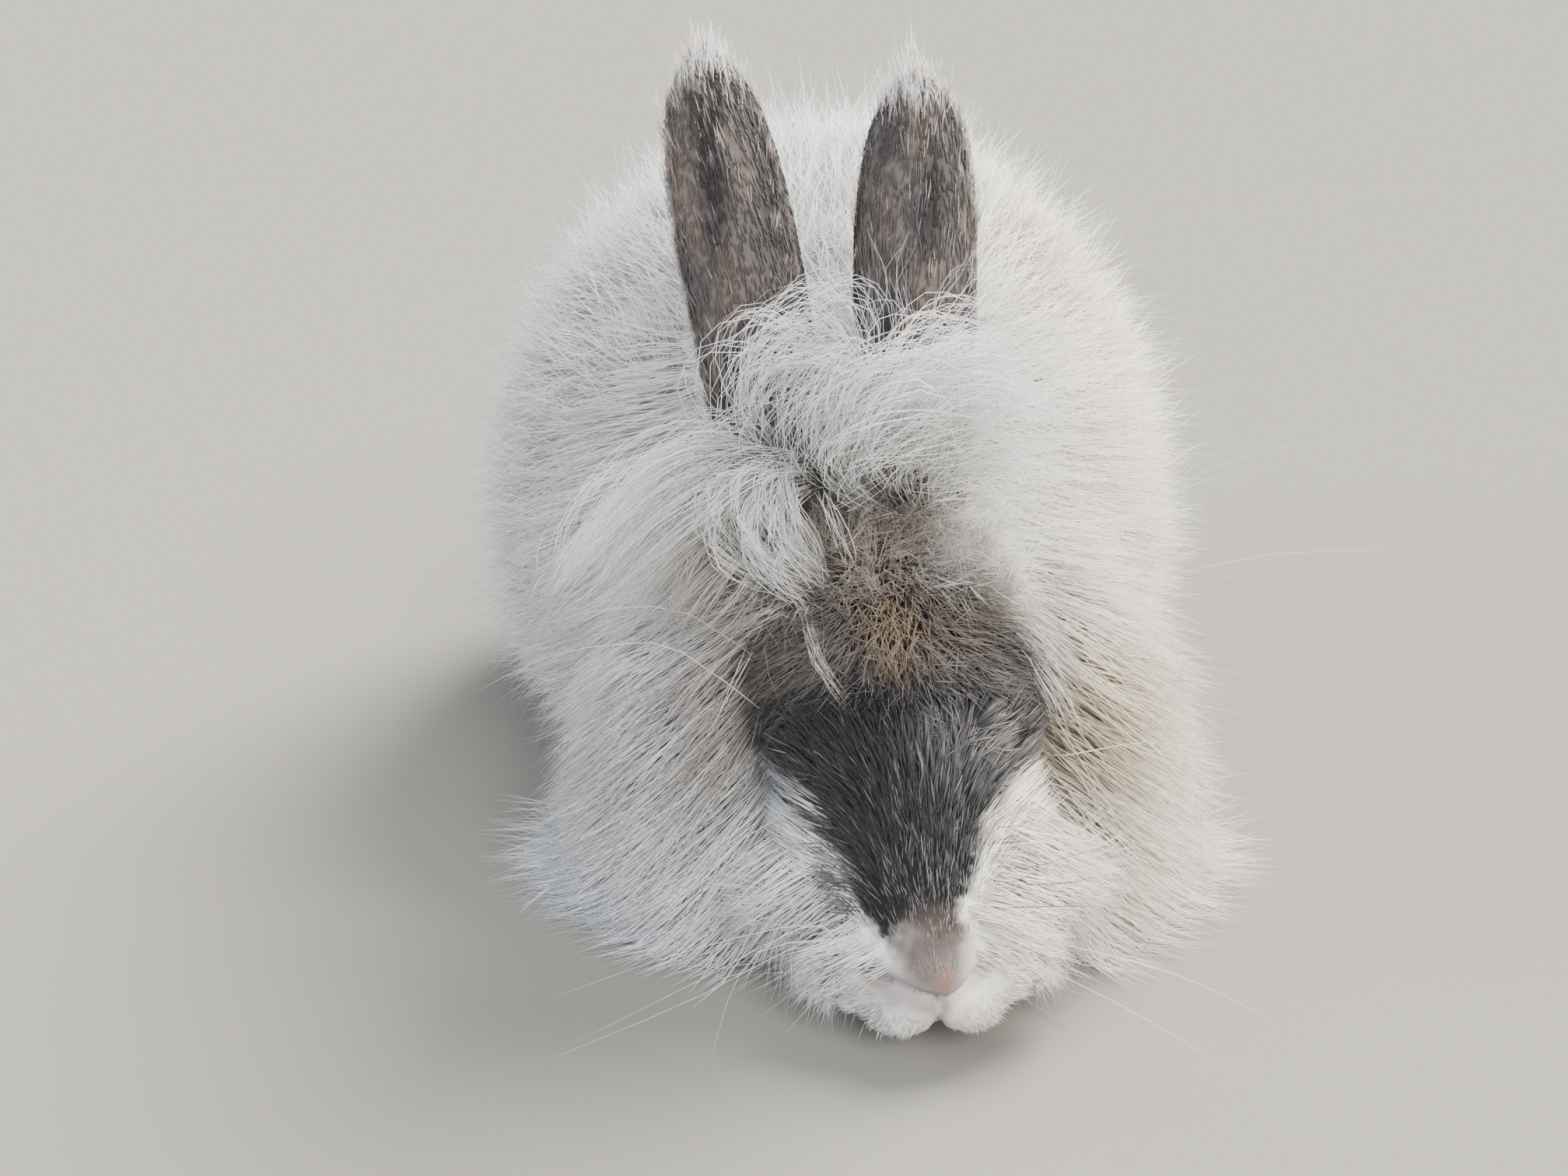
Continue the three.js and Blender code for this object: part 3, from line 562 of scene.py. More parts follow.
def near_crease(places, name, half):
    """How close places at the front of the head are to a crease, from 1 on it to 0 away from it."""
    close = places[:, 0] < 26
    share = np.zeros(len(places))
    share[close] = np.exp(-((distance_to_line(places[close], CREASE_LINES[name]) / half) ** 2))
    return share


def markings_and_painted_light(points):
    """The coat's colour at each place on the animal, painted light and shade included."""
    colour = np.tile(WHITE, (len(points), 1))
    # Painted warm light on the sunlit left and painted cool shade on the right, blended into the white.
    left = held((points[:, 0] + 25) / 80)
    colour = blend(colour, CREAM, 0.75 * left)
    colour = blend(colour, COOL_WHITE, 0.9 * (1 - left))
    colour = blend(colour, SILVER, held(0.22 * blot(points, 34, 5) + 0.1 * blot(points, 15, 6)))
    back, side, up = head_place(points)
    ragged = 2.6 * blot(points, 9, 8) + 1.4 * blot(points, 3.5, 9)
    # Painted shadow, in brown, where the wool folds on the right cheek.
    fold_shadow = np.linalg.norm((points - (-36, -120, 68)) / (13, 30, 26), axis=1)
    colour = blend(colour, BROWN, 0.5 * held(1.25 - fold_shadow + 0.15 * blot(points, 16, 11)))
    farthest = np.interp(back, [9, 20, 30], [20, 1.6, 1.3])
    near = held((farthest - skull.reach(points)) / 0.15) * (back < 116)
    top = near * held((up + 12) / 10)
    colour = blend(colour, BROWN, 0.6 * top * patch(back, side + ragged, up, (98, -24, 16), (14, 13, 24)))
    colour = blend(colour, SILVER, 0.7 * top * patch(back, side + ragged, up, (76, -28, 14), (12, 9, 20)))
    off = np.abs(side - MASK_MIDDLE(back))
    brow = track([0, 12, 24, 34, 42], [94, 93, 88, 80, 76])(np.clip(side, -10, 42) * np.sign(side + 0.01))
    agouti = held((brow + ragged - back) / 7 + 0.3) * held((MASK_HALF(back) + 2 - off + ragged) / 4)
    agouti *= held((back - 58) / 6)
    colour = blend(colour, AGOUTI, 0.95 * top * agouti)
    colour = blend(colour, TAN, 0.85 * top * patch(back + ragged, side, up, (105, -4, 26), (15, 13, 26)))
    colour = blend(colour, BROWN, 0.7 * top * patch(back + ragged, side, up, (109, 3, 22), (6, 6, 20)))
    colour = blend(colour, TAN, 0.8 * top * patch(back + ragged, side, up, (80, -1, 26), (13, 5, 16)))
    colour = blend(colour, STRAW, 0.5 * near * patch(back, side, up, (84, 38, 4), (10, 9, 12)))
    mask = held((MASK_HALF(back) - off + 0.6 * ragged) / 3.5 + 0.3)
    mask *= held((back - 5 + 0.9 * ragged) / 12) * held((72 + ragged + 0.12 * off - back) / 6)
    mask *= held((up - np.interp(back, [26, 46, 60], [-1, -3, -2]) + 0.5 * ragged) / 5)
    tone = MAUVE + (CHARCOAL - MAUVE) * held((back - 5 - 0.4 * side) / 15)[:, None]
    colour = colour + (tone - colour) * (mask * near)[:, None]
    colour = blend(colour, CHARCOAL, 0.7 * near * patch(back, side + ragged, up, (77, 27, 12), (6, 9, 14)))
    whorl = near * patch(back, side, up, (57, 13, 22), (10, 12, 14), 0.6)
    colour = blend(colour, SILVER, 0.22 * whorl)
    snout = np.stack([back, side, up], axis=-1)
    above = held((up - 3) / 3) * near
    colour = blend(colour, MAUVE, 0.9 * above * patch(back, side, up, (9, 0, 8), (10, 8, 9), 0.4))
    # Painted shadow on the lip under the right nostril.
    colour = blend(colour, UMBER_SHADE, 0.5 * near * patch(back, side, up, (4, -11, 1.5), (5, 8, 5), 0.6))
    colour = blend(colour, PINK, 0.4 * near * patch(back, side, up, (-1, 0, 0), (5, 6, 10), 0.5))
    colour = blend(colour, RUST, 0.6 * near * patch(back, side, up, (4.6, 2, 9), (2.2, 1.6, 3), 0.5))
    # Painted shade along the creases: the nostrils, the parting of the lip and the mouth.
    colour = blend(colour, UMBER_SHADE, 0.95 * near * near_crease(snout, "right_nostril", 2.8))
    colour = blend(colour, MAUVE, 0.75 * near * near_crease(snout, "left_nostril", 1.5))
    colour = blend(colour, UMBER_SHADE, 0.75 * near * near_crease(snout, "parting", 1.4))
    colour = blend(colour, UMBER_SHADE, 0.7 * near * near_crease(snout, "mouth", 1.5))
    for ear in ears.values():
        t, over, far = ear.share(points)
        wide = ear.radius(held(t))
        on_ear = held((t - 0.04) / 0.1) * (t < 1.3) * (far < wide + 6)
        on_ear *= held((skull.reach(points) - 1.0) / 0.04)
        along = points - (points @ ear.axis)[:, None] * ear.axis * 0.72
        tone = SLATE + (BROWN - SLATE) * held(0.4 + 0.7 * blot(along, 9, 12))[:, None]
        tone = tone + (CHARCOAL - tone) * np.clip(0.2 + 0.6 * blot(along, 13, 14), 0, 0.65)[:, None]
        rim = 0.75 * held((np.abs(over) - 0.82) / 0.18)
        rim = rim + held((t - 0.93 + 0.03 * blot(points, 7, 16)) / 0.07)
        tone = tone + (WHITE - tone) * np.clip(rim, 0, 0.9)[:, None]
        cup = held((wide - far) / 0.5)
        tone = tone + (PINK - tone) * (0.6 * cup)[:, None]
        colour = colour + (0.85 * tone - colour) * on_ear[:, None]
    return colour


def paint(mesh, colours):
    layer = mesh.color_attributes.new("coat_colour", "FLOAT_COLOR", "POINT")
    flat = np.ones((len(colours), 4), np.float32)
    flat[:, :3] = held(colours)
    layer.data.foreach_set("color", flat.ravel())
    mesh.color_attributes.active_color = layer


skin_points = points_of(skin.data)
paint(skin.data, 0.85 * markings_and_painted_light(skin_points))


def coat_tone_group():
    """The coat's painted colour, lightened and darkened in small flecks."""
    group = bpy.data.node_groups.new("coat_tone", "ShaderNodeTree")
    group.interface.new_socket("Painted", in_out="INPUT", socket_type="NodeSocketColor")
    fleck = group.interface.new_socket("Fleck", in_out="INPUT", socket_type="NodeSocketFloat")
    fleck.default_value = 0.1
    scale = group.interface.new_socket("Scale", in_out="INPUT", socket_type="NodeSocketFloat")
    scale.default_value = 400.0
    group.interface.new_socket("Color", in_out="OUTPUT", socket_type="NodeSocketColor")
    nodes, links = group.nodes, group.links
    taken = nodes.new("NodeGroupInput")
    given = nodes.new("NodeGroupOutput")
    place = nodes.new("ShaderNodeTexCoord")
    noise = nodes.new("ShaderNodeTexNoise")
    noise.inputs["Detail"].default_value = 3.0
    links.new(place.outputs["Object"], noise.inputs["Vector"])
    links.new(taken.outputs["Scale"], noise.inputs["Scale"])
    centred = nodes.new("ShaderNodeMath")
    centred.operation = "SUBTRACT"
    centred.inputs[1].default_value = 0.5
    links.new(noise.outputs["Fac"], centred.inputs[0])
    sized = nodes.new("ShaderNodeMath")
    sized.operation = "MULTIPLY_ADD"
    sized.inputs[2].default_value = 1.0
    links.new(centred.outputs["Value"], sized.inputs[0])
    links.new(taken.outputs["Fleck"], sized.inputs[1])
    toned = nodes.new("ShaderNodeVectorMath")
    toned.operation = "SCALE"
    links.new(taken.outputs["Painted"], toned.inputs[0])
    links.new(sized.outputs["Value"], toned.inputs["Scale"])
    links.new(toned.outputs["Vector"], given.inputs["Color"])
    return group


coat_tone = coat_tone_group()


def coat_material(name, roughness, sheen, fleck, scale):
    made = bpy.data.materials.new(name)
    made.use_nodes = True
    nodes, links = made.node_tree.nodes, made.node_tree.links
    surface = nodes["Principled BSDF"]
    surface.inputs["Roughness"].default_value = roughness
    surface.inputs["Sheen Weight"].default_value = sheen
    surface.inputs["Sheen Roughness"].default_value = 0.5
    surface.inputs["Specular IOR Level"].default_value = 0.25
    painted = nodes.new("ShaderNodeAttribute")
    painted.attribute_name = "coat_colour"
    tone = nodes.new("ShaderNodeGroup")
    tone.node_tree = coat_tone
    tone.inputs["Fleck"].default_value = fleck
    tone.inputs["Scale"].default_value = scale
    links.new(painted.outputs["Color"], tone.inputs["Painted"])
    links.new(tone.outputs["Color"], surface.inputs["Base Color"])
    return made


skin.data.materials.append(coat_material("skin_down", 0.9, 0.1, 0.35, 900.0))
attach(skin, "root")
FLESH_NODES = [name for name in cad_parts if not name.startswith("eye")]
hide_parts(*FLESH_NODES)

# The eyes: dark brown glass balls set into the sockets behind the lids, one each side.
def glass_eye(hand, name):
    centre = in_metres(on_head(EYE["back"], hand * EYE["side"], EYE["up"]))
    bpy.ops.mesh.primitive_uv_sphere_add(
        segments=48, ring_count=32, radius=(EYE["radius"] - 0.35) * MM, location=Vector(centre)
    )
    made = bpy.context.active_object
    made.name = name
    bpy.ops.object.shade_smooth()
    return made


glass = bpy.data.materials.new("eye_glass")
glass.use_nodes = True
glass_surface = glass.node_tree.nodes["Principled BSDF"]
glass_surface.inputs["Base Color"].default_value = (0.012, 0.007, 0.005, 1)
glass_surface.inputs["Roughness"].default_value = 0.08
glass_surface.inputs["Coat Weight"].default_value = 0.6
glass_surface.inputs["Coat Roughness"].default_value = 0.03
for hand, name in ((-1, "eye_right"), (1, "eye_left")):
    eye = glass_eye(hand, name + "_glass")
    eye.data.materials.append(glass)
    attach(eye, "root")
    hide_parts(name)

# The short fur of the face: fine hairs a few millimetres long, combed back from the nose. They
# lengthen over the cheeks and the forehead, and lie close round the nose and the lips.
FULL_COAT = 1.0
skin.data.calc_loop_triangles()
corners = read(skin.data.loop_triangles, "vertices", 3, np.int32)
loops = read(skin.data.loop_triangles, "loops", 3, np.int32)
unwrap = read(skin.data.uv_layers["OFBake"].uv, "vector", 2)
skin_normals = normals_of(skin.data)
middles = skin_points[corners].mean(axis=1)
edges_across = np.cross(
    skin_points[corners[:, 1]] - skin_points[corners[:, 0]],
    skin_points[corners[:, 2]] - skin_points[corners[:, 0]],
)
areas = 0.5 * np.linalg.norm(edges_across, axis=1)
middle_normals = edges_across / np.maximum(2 * areas, 1e-9)[:, None]

m_back, m_side, m_up = head_place(middles)
ear_share = {name: ear.share(middles) for name, ear in ears.items()}
ON_EAR = {
    name: (t > 0.06)
    & (t < 1.1)
    & (far < ears[name].radius(held(t)) + 3.5)
    & (skull.reach(middles) > 1.03)
    for name, (t, over, far) in ear_share.items()
}
any_ear = ON_EAR["right"] | ON_EAR["left"]
near_face = np.min([off_centre(m_back, m_side, m_up, *sizes) for sizes in FACE_BALLS], axis=0)
ON_HEAD = ((skull.reach(middles) < 1.2) | (near_face < 1.1)) & (ruff.reach(middles) > 0.95) & ~any_ear
IN_CROWN = ON_HEAD & (m_back > 91) & (m_up > 4)


class Roots:
    """Where hairs are set: places on the skin, their way out, and their place on the unwrap."""

    def __init__(self, wanted, each_mm2, seed):
        draw = np.random.default_rng(seed)
        weight = areas * wanted
        count = int(weight.sum() * each_mm2 * FULL_COAT)
        share = np.cumsum(weight)
        pick = np.searchsorted(share, draw.uniform(0, share[-1], count))
        a, b = draw.uniform(size=(2, count))
        a, b = np.where(a + b > 1, 1 - a, a), np.where(a + b > 1, 1 - b, b)
        mix = np.stack([1 - a - b, a, b], axis=-1)[:, :, None]
        self.at = (skin_points[corners[pick]] * mix).sum(axis=1)
        out = (skin_normals[corners[pick]] * mix).sum(axis=1)
        self.out = out / np.linalg.norm(out, axis=1)[:, None]
        self.uv = (unwrap[loops[pick]] * mix).sum(axis=1)
        self.back, self.side, self.up = head_place(self.at)
        self.draw = draw

    def __len__(self):
        return len(self.at)

    def between(self, low, high):
        return self.draw.uniform(low, high, len(self))

    def about(self, middle, spread):
        return middle + self.draw.normal(0, spread, len(self))

    def stray(self, amount):
        """A small move for each root, in any direction."""
        return amount * self.draw.normal(size=(len(self), 3))


def unit(vectors):
    return vectors / np.maximum(np.linalg.norm(vectors, axis=-1), 1e-9)[..., None]


def laid(flow, out):
    """The flow pressed flat on the skin."""
    return unit(flow - (flow * out).sum(axis=1)[:, None] * out)


def tufts(roots, spacing, seed):
    """Which tuft each hair belongs to: the index of the hair that leads it."""
    draw = np.random.default_rng(seed)
    order = draw.permutation(len(roots))
    leaders = []
    taken = set()
    for i in order:
        cell = tuple(np.floor(roots.at[i] / spacing).astype(int))
        if cell not in taken:
            taken.add(cell)
            leaders.append(i)
    tree = KDTree(len(leaders))
    for i in leaders:
        tree.insert(Vector(roots.at[i]), int(i))
    tree.balance()
    return np.array([tree.find(Vector(place))[1] for place in roots.at])


# Tips nearer the floor than the first height bend along it, and none comes under the second.
FLOOR_SOFT, FLOOR_GAP = 5.0, 0.5
# The size of one hair's patch on the unwrap, how deep a hair is set, and how much its tip is
# lighter than its colour.
PATCH, ROOT_DEPTH, TIP_TONE = 0.003, 0.6, 1.05


def strands_along(
    name, spine, root_uv, width, colour, draw, tip_colour=None, over=None, flat=0.5, tones=(0.86, TIP_TONE)
):
    """One mesh of tapered three-sided strands along their spines, each closed at both ends."""
    count, rings = len(spine), spine.shape[1] - 1
    draw = np.random.default_rng(draw) if isinstance(draw, int) else draw
    width = np.broadcast_to(width, count).astype(float)
    if tip_colour is None:
        tip_colour = colour
    low = np.minimum(spine[..., 2] - FLOOR_SOFT, 0)
    room = FLOOR_SOFT - FLOOR_GAP
    spine[..., 2] = np.where(low < 0, FLOOR_GAP + room * np.exp(low / room), spine[..., 2])
    tangent = unit(spine[:, 1:] - spine[:, :-1])
    if over is None:
        over = unit(np.cross(tangent[:, 0], draw.normal(size=(count, 3))))
    wide = unit(np.cross(tangent, over[:, None]))
    deep = np.cross(wide, tangent)
    taper = np.interp(np.arange(rings) / rings, [0, 0.3, 1], [0.8, 1.0, 0.15])[None, :, None]
    half = 0.5 * width[:, None, None] * taper
    rim = np.stack(
        [spine[:, :-1] + wide * half, spine[:, :-1] + deep * half * flat, spine[:, :-1] - wide * half],
        axis=2,
    )
    points = np.concatenate([rim.reshape(count, rings * 3, 3), spine[:, -1:]], axis=1)
    faces, patches = [], []
    for i in range(rings - 1):
        for j in range(3):
            k = (j + 1) % 3
            a, b, c, d = 3 * i + j, 3 * i + k, 3 * i + 3 + k, 3 * i + 3 + j
            from_root, to_tip = i / rings, (i + 1) / rings
            u0, u1 = j / 3, (j + 1) / 3
            faces += [(a, b, c), (a, c, d)]
            patches.append(((u0, from_root), (u1, from_root), (u1, to_tip)))
            patches.append(((u0, from_root), (u1, to_tip), (u0, to_tip)))
    last = 3 * (rings - 1)
    for j in range(3):
        faces.append((last + j, last + (j + 1) % 3, 3 * rings))
        patches.append(((j / 3, 1 - 1 / rings), ((j + 1) / 3, 1 - 1 / rings), ((j + 0.5) / 3, 1)))
    faces.append((2, 1, 0))
    patches.append(((1, 0), (0.5, 0), (0, 0)))
    faces, patches = np.array(faces), np.array(patches)
    each, total = 3 * rings + 1, count * len(faces)
    index = (faces[None] + each * np.arange(count)[:, None, None]).reshape(-1)
    mesh = bpy.data.meshes.new(name)
    mesh.vertices.add(count * each)
    mesh.vertices.foreach_set("co", in_metres(points.reshape(-1, 3)).astype(np.float32).ravel())
    mesh.loops.add(total * 3)
    mesh.loops.foreach_set("vertex_index", index.astype(np.int32))
    mesh.polygons.add(total)
    mesh.polygons.foreach_set("loop_start", np.arange(0, total * 3, 3, dtype=np.int32))
    mesh.polygons.foreach_set("use_smooth", np.ones(total, bool))
    mesh.update(calc_edges=True)
    uv = np.clip(root_uv[:, None, None] + PATCH * (patches[None] - 0.5), 0.0005, 0.9995)
    mesh.uv_layers.new(name="OFBake").uv.foreach_set("vector", uv.astype(np.float32).ravel())
    own = draw.normal(1.0, 0.05, count)[:, None, None]
    share = np.append(np.repeat(np.arange(rings) / rings, 3), 1.0)[None, :, None]
    tone = tones[0] + (tones[1] - tones[0]) * share
    paints = (colour[:, None] * (1 - share) + tip_colour[:, None] * share) * tone * own
    paint(mesh, paints.reshape(-1, 3))
    made = bpy.data.objects.new(name, mesh)
    bpy.context.scene.collection.objects.link(made)
    return made


def hairs(
    name, roots, lie, length, width, lift, rings=2, bend=0.25, fall=0.0, curl=0.0, turns=1.0,
    tuft=None, gather=0.0, root_tone=0.86, colour=None, tip_colour=None,
):
    """Tapered hairs, each a closed three-sided form that leaves its root at the lift angle and
    bends over towards its lie. Hairs of a tuft share their way and gather towards its tip."""
    count, draw = len(roots), roots.draw
    length = np.broadcast_to(length, count).astype(float)
    lift = np.radians(np.broadcast_to(lift, count))
    width = np.broadcast_to(width, count).astype(float)
    way = unit(lie * np.cos(lift)[:, None] + roots.out * np.sin(lift)[:, None])
    phase = draw.uniform(0, 2 * np.pi, count)
    pull = np.zeros((count, 3))
    if tuft is not None:
        gather = np.broadcast_to(gather, count)
        way = unit(way + gather[:, None] * (way[tuft] - way))
        phase = phase + gather * (phase[tuft] - phase)
        length = length + 0.5 * gather * (length[tuft] - length)
        pull = gather[:, None] * (roots.at[tuft] - roots.at)
    across = unit(np.cross(way, roots.out))
    over = np.cross(across, way)
    t = np.append(np.arange(rings) / rings, 1.0)[None, :, None]
    long = length[:, None, None]
    spine = roots.at[:, None] - ROOT_DEPTH * roots.out[:, None] + way[:, None] * long * t
    spine = spine - over[:, None] * (bend * long * t**2)
    spine = spine + pull[:, None] * t**1.2
    spine[..., 2] -= (np.broadcast_to(fall, count)[:, None] * length[:, None]) * t[..., 0] ** 2
    swing = np.broadcast_to(curl, count)[:, None, None] * t
    angle = phase[:, None, None] + 2 * np.pi * np.broadcast_to(turns, count)[:, None, None] * t
    spine = spine + across[:, None] * swing * np.sin(angle) + over[:, None] * swing * np.cos(angle)
    if colour is None:
        colour = markings_and_painted_light(roots.at)
    if tip_colour is None:
        tip_colour = colour
    tones = (root_tone, TIP_TONE)
    return strands_along(name, spine, roots.uv, width, colour, draw, tip_colour, over, tones=tones)


fur = coat_material("short_fur", 0.7, 0.15, 0.25, 1500.0)
wool = coat_material("wool", 0.85, 0.35, 0.12, 500.0)


def dressed(piece, material):
    piece.data.materials.append(material)
    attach(piece, "root")
    return piece


def face_flow(roots):
    """Back from the nose, out over the lips, and forward again over the brow."""
    side = roots.side[:, None] / 26
    lip = held((12 - roots.back) / 12)[:, None]
    under = (lip[:, 0] * held((5.5 - roots.up) / 1.5))[:, None]
    brow = held((roots.back - 62) / 8)[:, None]
    low = held((4 - roots.up) / 26)[:, None]
    flow = head_back * (1 - 0.3 * lip - 1.4 * under - 1.7 * brow)
    flow = flow + head_side * side * (0.55 + 1.1 * lip + 1.1 * brow)
    flow = flow - head_up * (0.6 * low + 0.5 * lip + 0.2 * brow)
    beside = held((np.abs(roots.side) - 9) / 8) * held((56 - roots.back) / 12)
    flow = flow + head_side * (0.9 * np.sign(roots.side) * beside)[:, None]
    from_whorl = np.stack([roots.back - 58, roots.side - 13], axis=-1)
    far = np.linalg.norm(from_whorl, axis=1)[:, None]
    round_it = (from_whorl[:, :1] * head_back + from_whorl[:, 1:] * head_side) / np.maximum(far, 1)
    flow = flow + 1.3 * round_it * np.exp(-((far / 8) ** 2)) * (roots.up > 5)[:, None]
    return flow + roots.stray(0.2 + 0.3 * brow)


def flecked(roots, colour):
    """Single hairs lighter than their neighbours, most of them where the dark mask thins out."""
    dark = held((0.35 - colour.mean(axis=1)) / 0.3)
    chance = 0.09 + 0.04 * np.sign(roots.side + 6)
    chance = chance + 0.5 * held((32 - roots.back) / 22) + 0.25 * (roots.back > 68)
    chance = chance + 0.3 * np.exp(-((roots.back - 57) ** 2 + (roots.side - 13) ** 2) / 90)
    light = (roots.draw.uniform(size=len(roots)) < chance) * dark
    share = light * roots.between(0.25, 0.8)
    return blend(colour, SILVER * 1.15, share)


FUR_LENGTH = track([-4, 8, 20, 36, 52, 66, 80, 110], [3.0, 3.0, 4.6, 7, 9, 10, 14, 20])


def fur_lift(back):
    return np.interp(back, [-2, 4, 10, 40, 66, 84, 96], [30, 28, 17, 22, 28, 40, 58])


for name, where, dense, seed in (
    ("fur_muzzle", ON_HEAD & (m_back < 40), 2.7, 101),
    ("fur_face", ON_HEAD & (m_back >= 40) & (m_up > -14), 1.9, 102),
):
    roots = Roots(where, each_mm2=dense, seed=seed)
    long = FUR_LENGTH(roots.back) * roots.between(0.7, 1.25)
    beside = held((np.abs(roots.side) - 9) / 8) * held((20 - roots.up) / 8)
    long = long * (1 + 0.9 * beside * held((60 - roots.back) / 20))
    own = np.stack([roots.back, roots.side, roots.up], axis=-1)
    for crease in CREASES:
        long = long * (1 - 0.85 * near_crease(own, crease, 3.4))
    lie = laid(face_flow(roots), roots.out)
    colour = markings_and_painted_light(roots.at + 0.55 * long[:, None] * lie)
    on_nose = patch(roots.back, roots.side, roots.up, (13, 0, 10), (10, 10, 9), 0.6)
    speck = on_nose * (roots.draw.uniform(size=len(roots)) < 0.3)
    colour = blend(colour, CHARCOAL, 0.5 * speck)
    piece = hairs(
        name, roots, lie, long, np.clip(0.24 + 0.03 * long, 0.28, 0.55),
        roots.about(fur_lift(roots.back), 7), rings=2, bend=0.16, tuft=tufts(roots, 2.8, seed),
        gather=0.3, root_tone=0.8, colour=colour, tip_colour=flecked(roots, colour),
    )
    dressed(piece, fur)

# The cheeks: softer and longer fur that streams out sideways from the muzzle and the jaw, over
# the ruff and down to the floor, so that the head has no neck.
IN_DARK = markings_and_painted_light(middles).mean(axis=1) < 0.5
ON_CHEEK = ON_HEAD & (m_up < 12) & (m_back > 7) & (m_back < 92) & (np.abs(m_side) > 5) & ~IN_DARK
DARKEST_WOOL = {-1: rgb(150, 140, 132), 1: rgb(216, 203, 180)}
CHEEK_LENGTH = track([5, 14, 24, 36, 52, 70, 92], [6, 14, 24, 32, 38, 38, 34])
for hand, name, seed in ((-1, "cheek_right", 105), (1, "cheek_left", 106)):
    roots = Roots(ON_CHEEK & (hand * m_side > 0), each_mm2=1.35, seed=seed)
    drop = 0.75 if hand < 0 else 0.45
    flow = np.array([hand, -0.05, -drop]) + roots.stray(0.16)
    flow = flow + held((roots.back - 50) / 40)[:, None] * np.array([0, 0.1, 0.35])
    long = CHEEK_LENGTH(roots.back) * roots.between(0.75, 1.15)
    piece = hairs(
        "wool_" + name, roots, laid(flow, roots.out), long, 0.4, roots.about(23, 7), rings=3,
        bend=0.14, curl=0.9, tuft=tufts(roots, 6.5, seed), gather=0.35, root_tone=0.92,
        colour=np.maximum(markings_and_painted_light(roots.at), DARKEST_WOOL[hand]),
    )
    dressed(piece, wool)

# Dark-tipped hairs that fan out from the edges of the mask over the pale cheeks.
FLECKS = ((-1, "fleck_cheek_right", AGOUTI, 109), (1, "fleck_cheek_left", CHARCOAL, 110))
for hand, name, tint, seed in FLECKS:
    edge = np.abs(m_side - hand * (13 + 0.18 * m_back)) < 5
    roots = Roots(ON_HEAD & edge & (m_back > 20) & (m_back < 52) & (m_up > -6), each_mm2=0.9, seed=seed)
    flow = np.array([hand, 0.25, 0.05]) + roots.stray(0.2)
    piece = hairs(
        name, roots, laid(flow, roots.out), roots.between(7, 15), 0.34, roots.about(22, 7), rings=3,
        bend=0.15, tuft=tufts(roots, 4.0, seed), gather=0.45,
        colour=blend(markings_and_painted_light(roots.at), SILVER, np.full(len(roots), 0.3)),
        tip_colour=blend(markings_and_painted_light(roots.at), tint, roots.between(0.2, 0.9)),
    )
    dressed(piece, fur)

# The temples: plush wool beside the forehead, from over the eye to the foot of the ear, that
# streams outwards and down over the ruff.
ON_TEMPLE = ON_HEAD & (m_back > 66) & (m_back < 116) & (np.abs(m_side) > 17) & (m_up > -4)
ON_TEMPLE &= markings_and_painted_light(middles).mean(axis=1) > 0.42
for hand, name, seed in ((-1, "wool_temple_right", 107), (1, "wool_temple_left", 108)):
    roots = Roots(ON_TEMPLE & (hand * m_side > 0), each_mm2=1.3, seed=seed)
    flow = np.array([hand, -0.45, -0.2]) + roots.stray(0.22)
    rise = held((roots.back - 66) / 20)
    piece = hairs(
        name, roots, laid(flow, roots.out), (14 + 16 * rise) * roots.between(0.75, 1.15), 0.4,
        roots.about(30, 8), rings=3, bend=0.2, fall=0.1, curl=1.0, tuft=tufts(roots, 6.0, seed),
        gather=0.4, root_tone=0.9,
    )
    dressed(piece, wool)

# The fur of the ears: short and mottled on the back of each ear, thinner in the cup, with long
# soft fringes on the rims and a wisp on each tip.
for index, (name, ear) in enumerate(ears.items()):
    cup = (ear_share[name][2] < ear.radius(held(ear_share[name][0]))).astype(float)
    roots = Roots(ON_EAR[name] * (1.4 - 0.8 * cup), each_mm2=0.62, seed=111 + index)
    t, over, far = ear.share(roots.at)
    flow = ear.axis + 0.3 * over[:, None] * ear.side + roots.stray(0.12)
    long = 7.5 * roots.between(0.7, 1.3)
    colour = markings_and_painted_light(roots.at)
    piece = hairs(
        "fur_ear_" + name, roots, laid(flow, roots.out), long, 0.46, roots.about(21, 7), rings=2,
        bend=0.1, tuft=tufts(roots, 3.4, 5 + index), gather=0.35, colour=colour,
        tip_colour=blend(colour, SILVER, roots.between(0, 0.3)),
    )
    dressed(piece, fur)
    t, over, far = ear_share[name]
    rim = 0.8 * held((np.abs(over) - 0.84) / 0.12) * (t > 0.25) + held((t - 0.9) / 0.08)
    roots = Roots(ON_EAR[name] * rim, each_mm2=0.8, seed=121 + index)
    t, over, far = ear.share(roots.at)
    lean = np.interp(t, [0.3, 0.85, 0.96, 1.0], [0.9, 0.55, -0.25, -0.5])
    flow = ear.axis + (lean * over)[:, None] * ear.side
    flow = flow + roots.stray(0.22)
    point = held((t - 0.9) / 0.08) * (1 - held(np.abs(over)))
    piece = hairs(
        "fringe_ear_" + name, roots, unit(flow), roots.between(3, 11) * (0.8 + 0.7 * point), 0.24, 3,
        rings=3, bend=0.1, curl=0.7, tuft=tufts(roots, 4, 15 + index), gather=0.5,
        colour=np.tile(WHITE, (len(roots), 1)),
    )
    dressed(piece, wool)

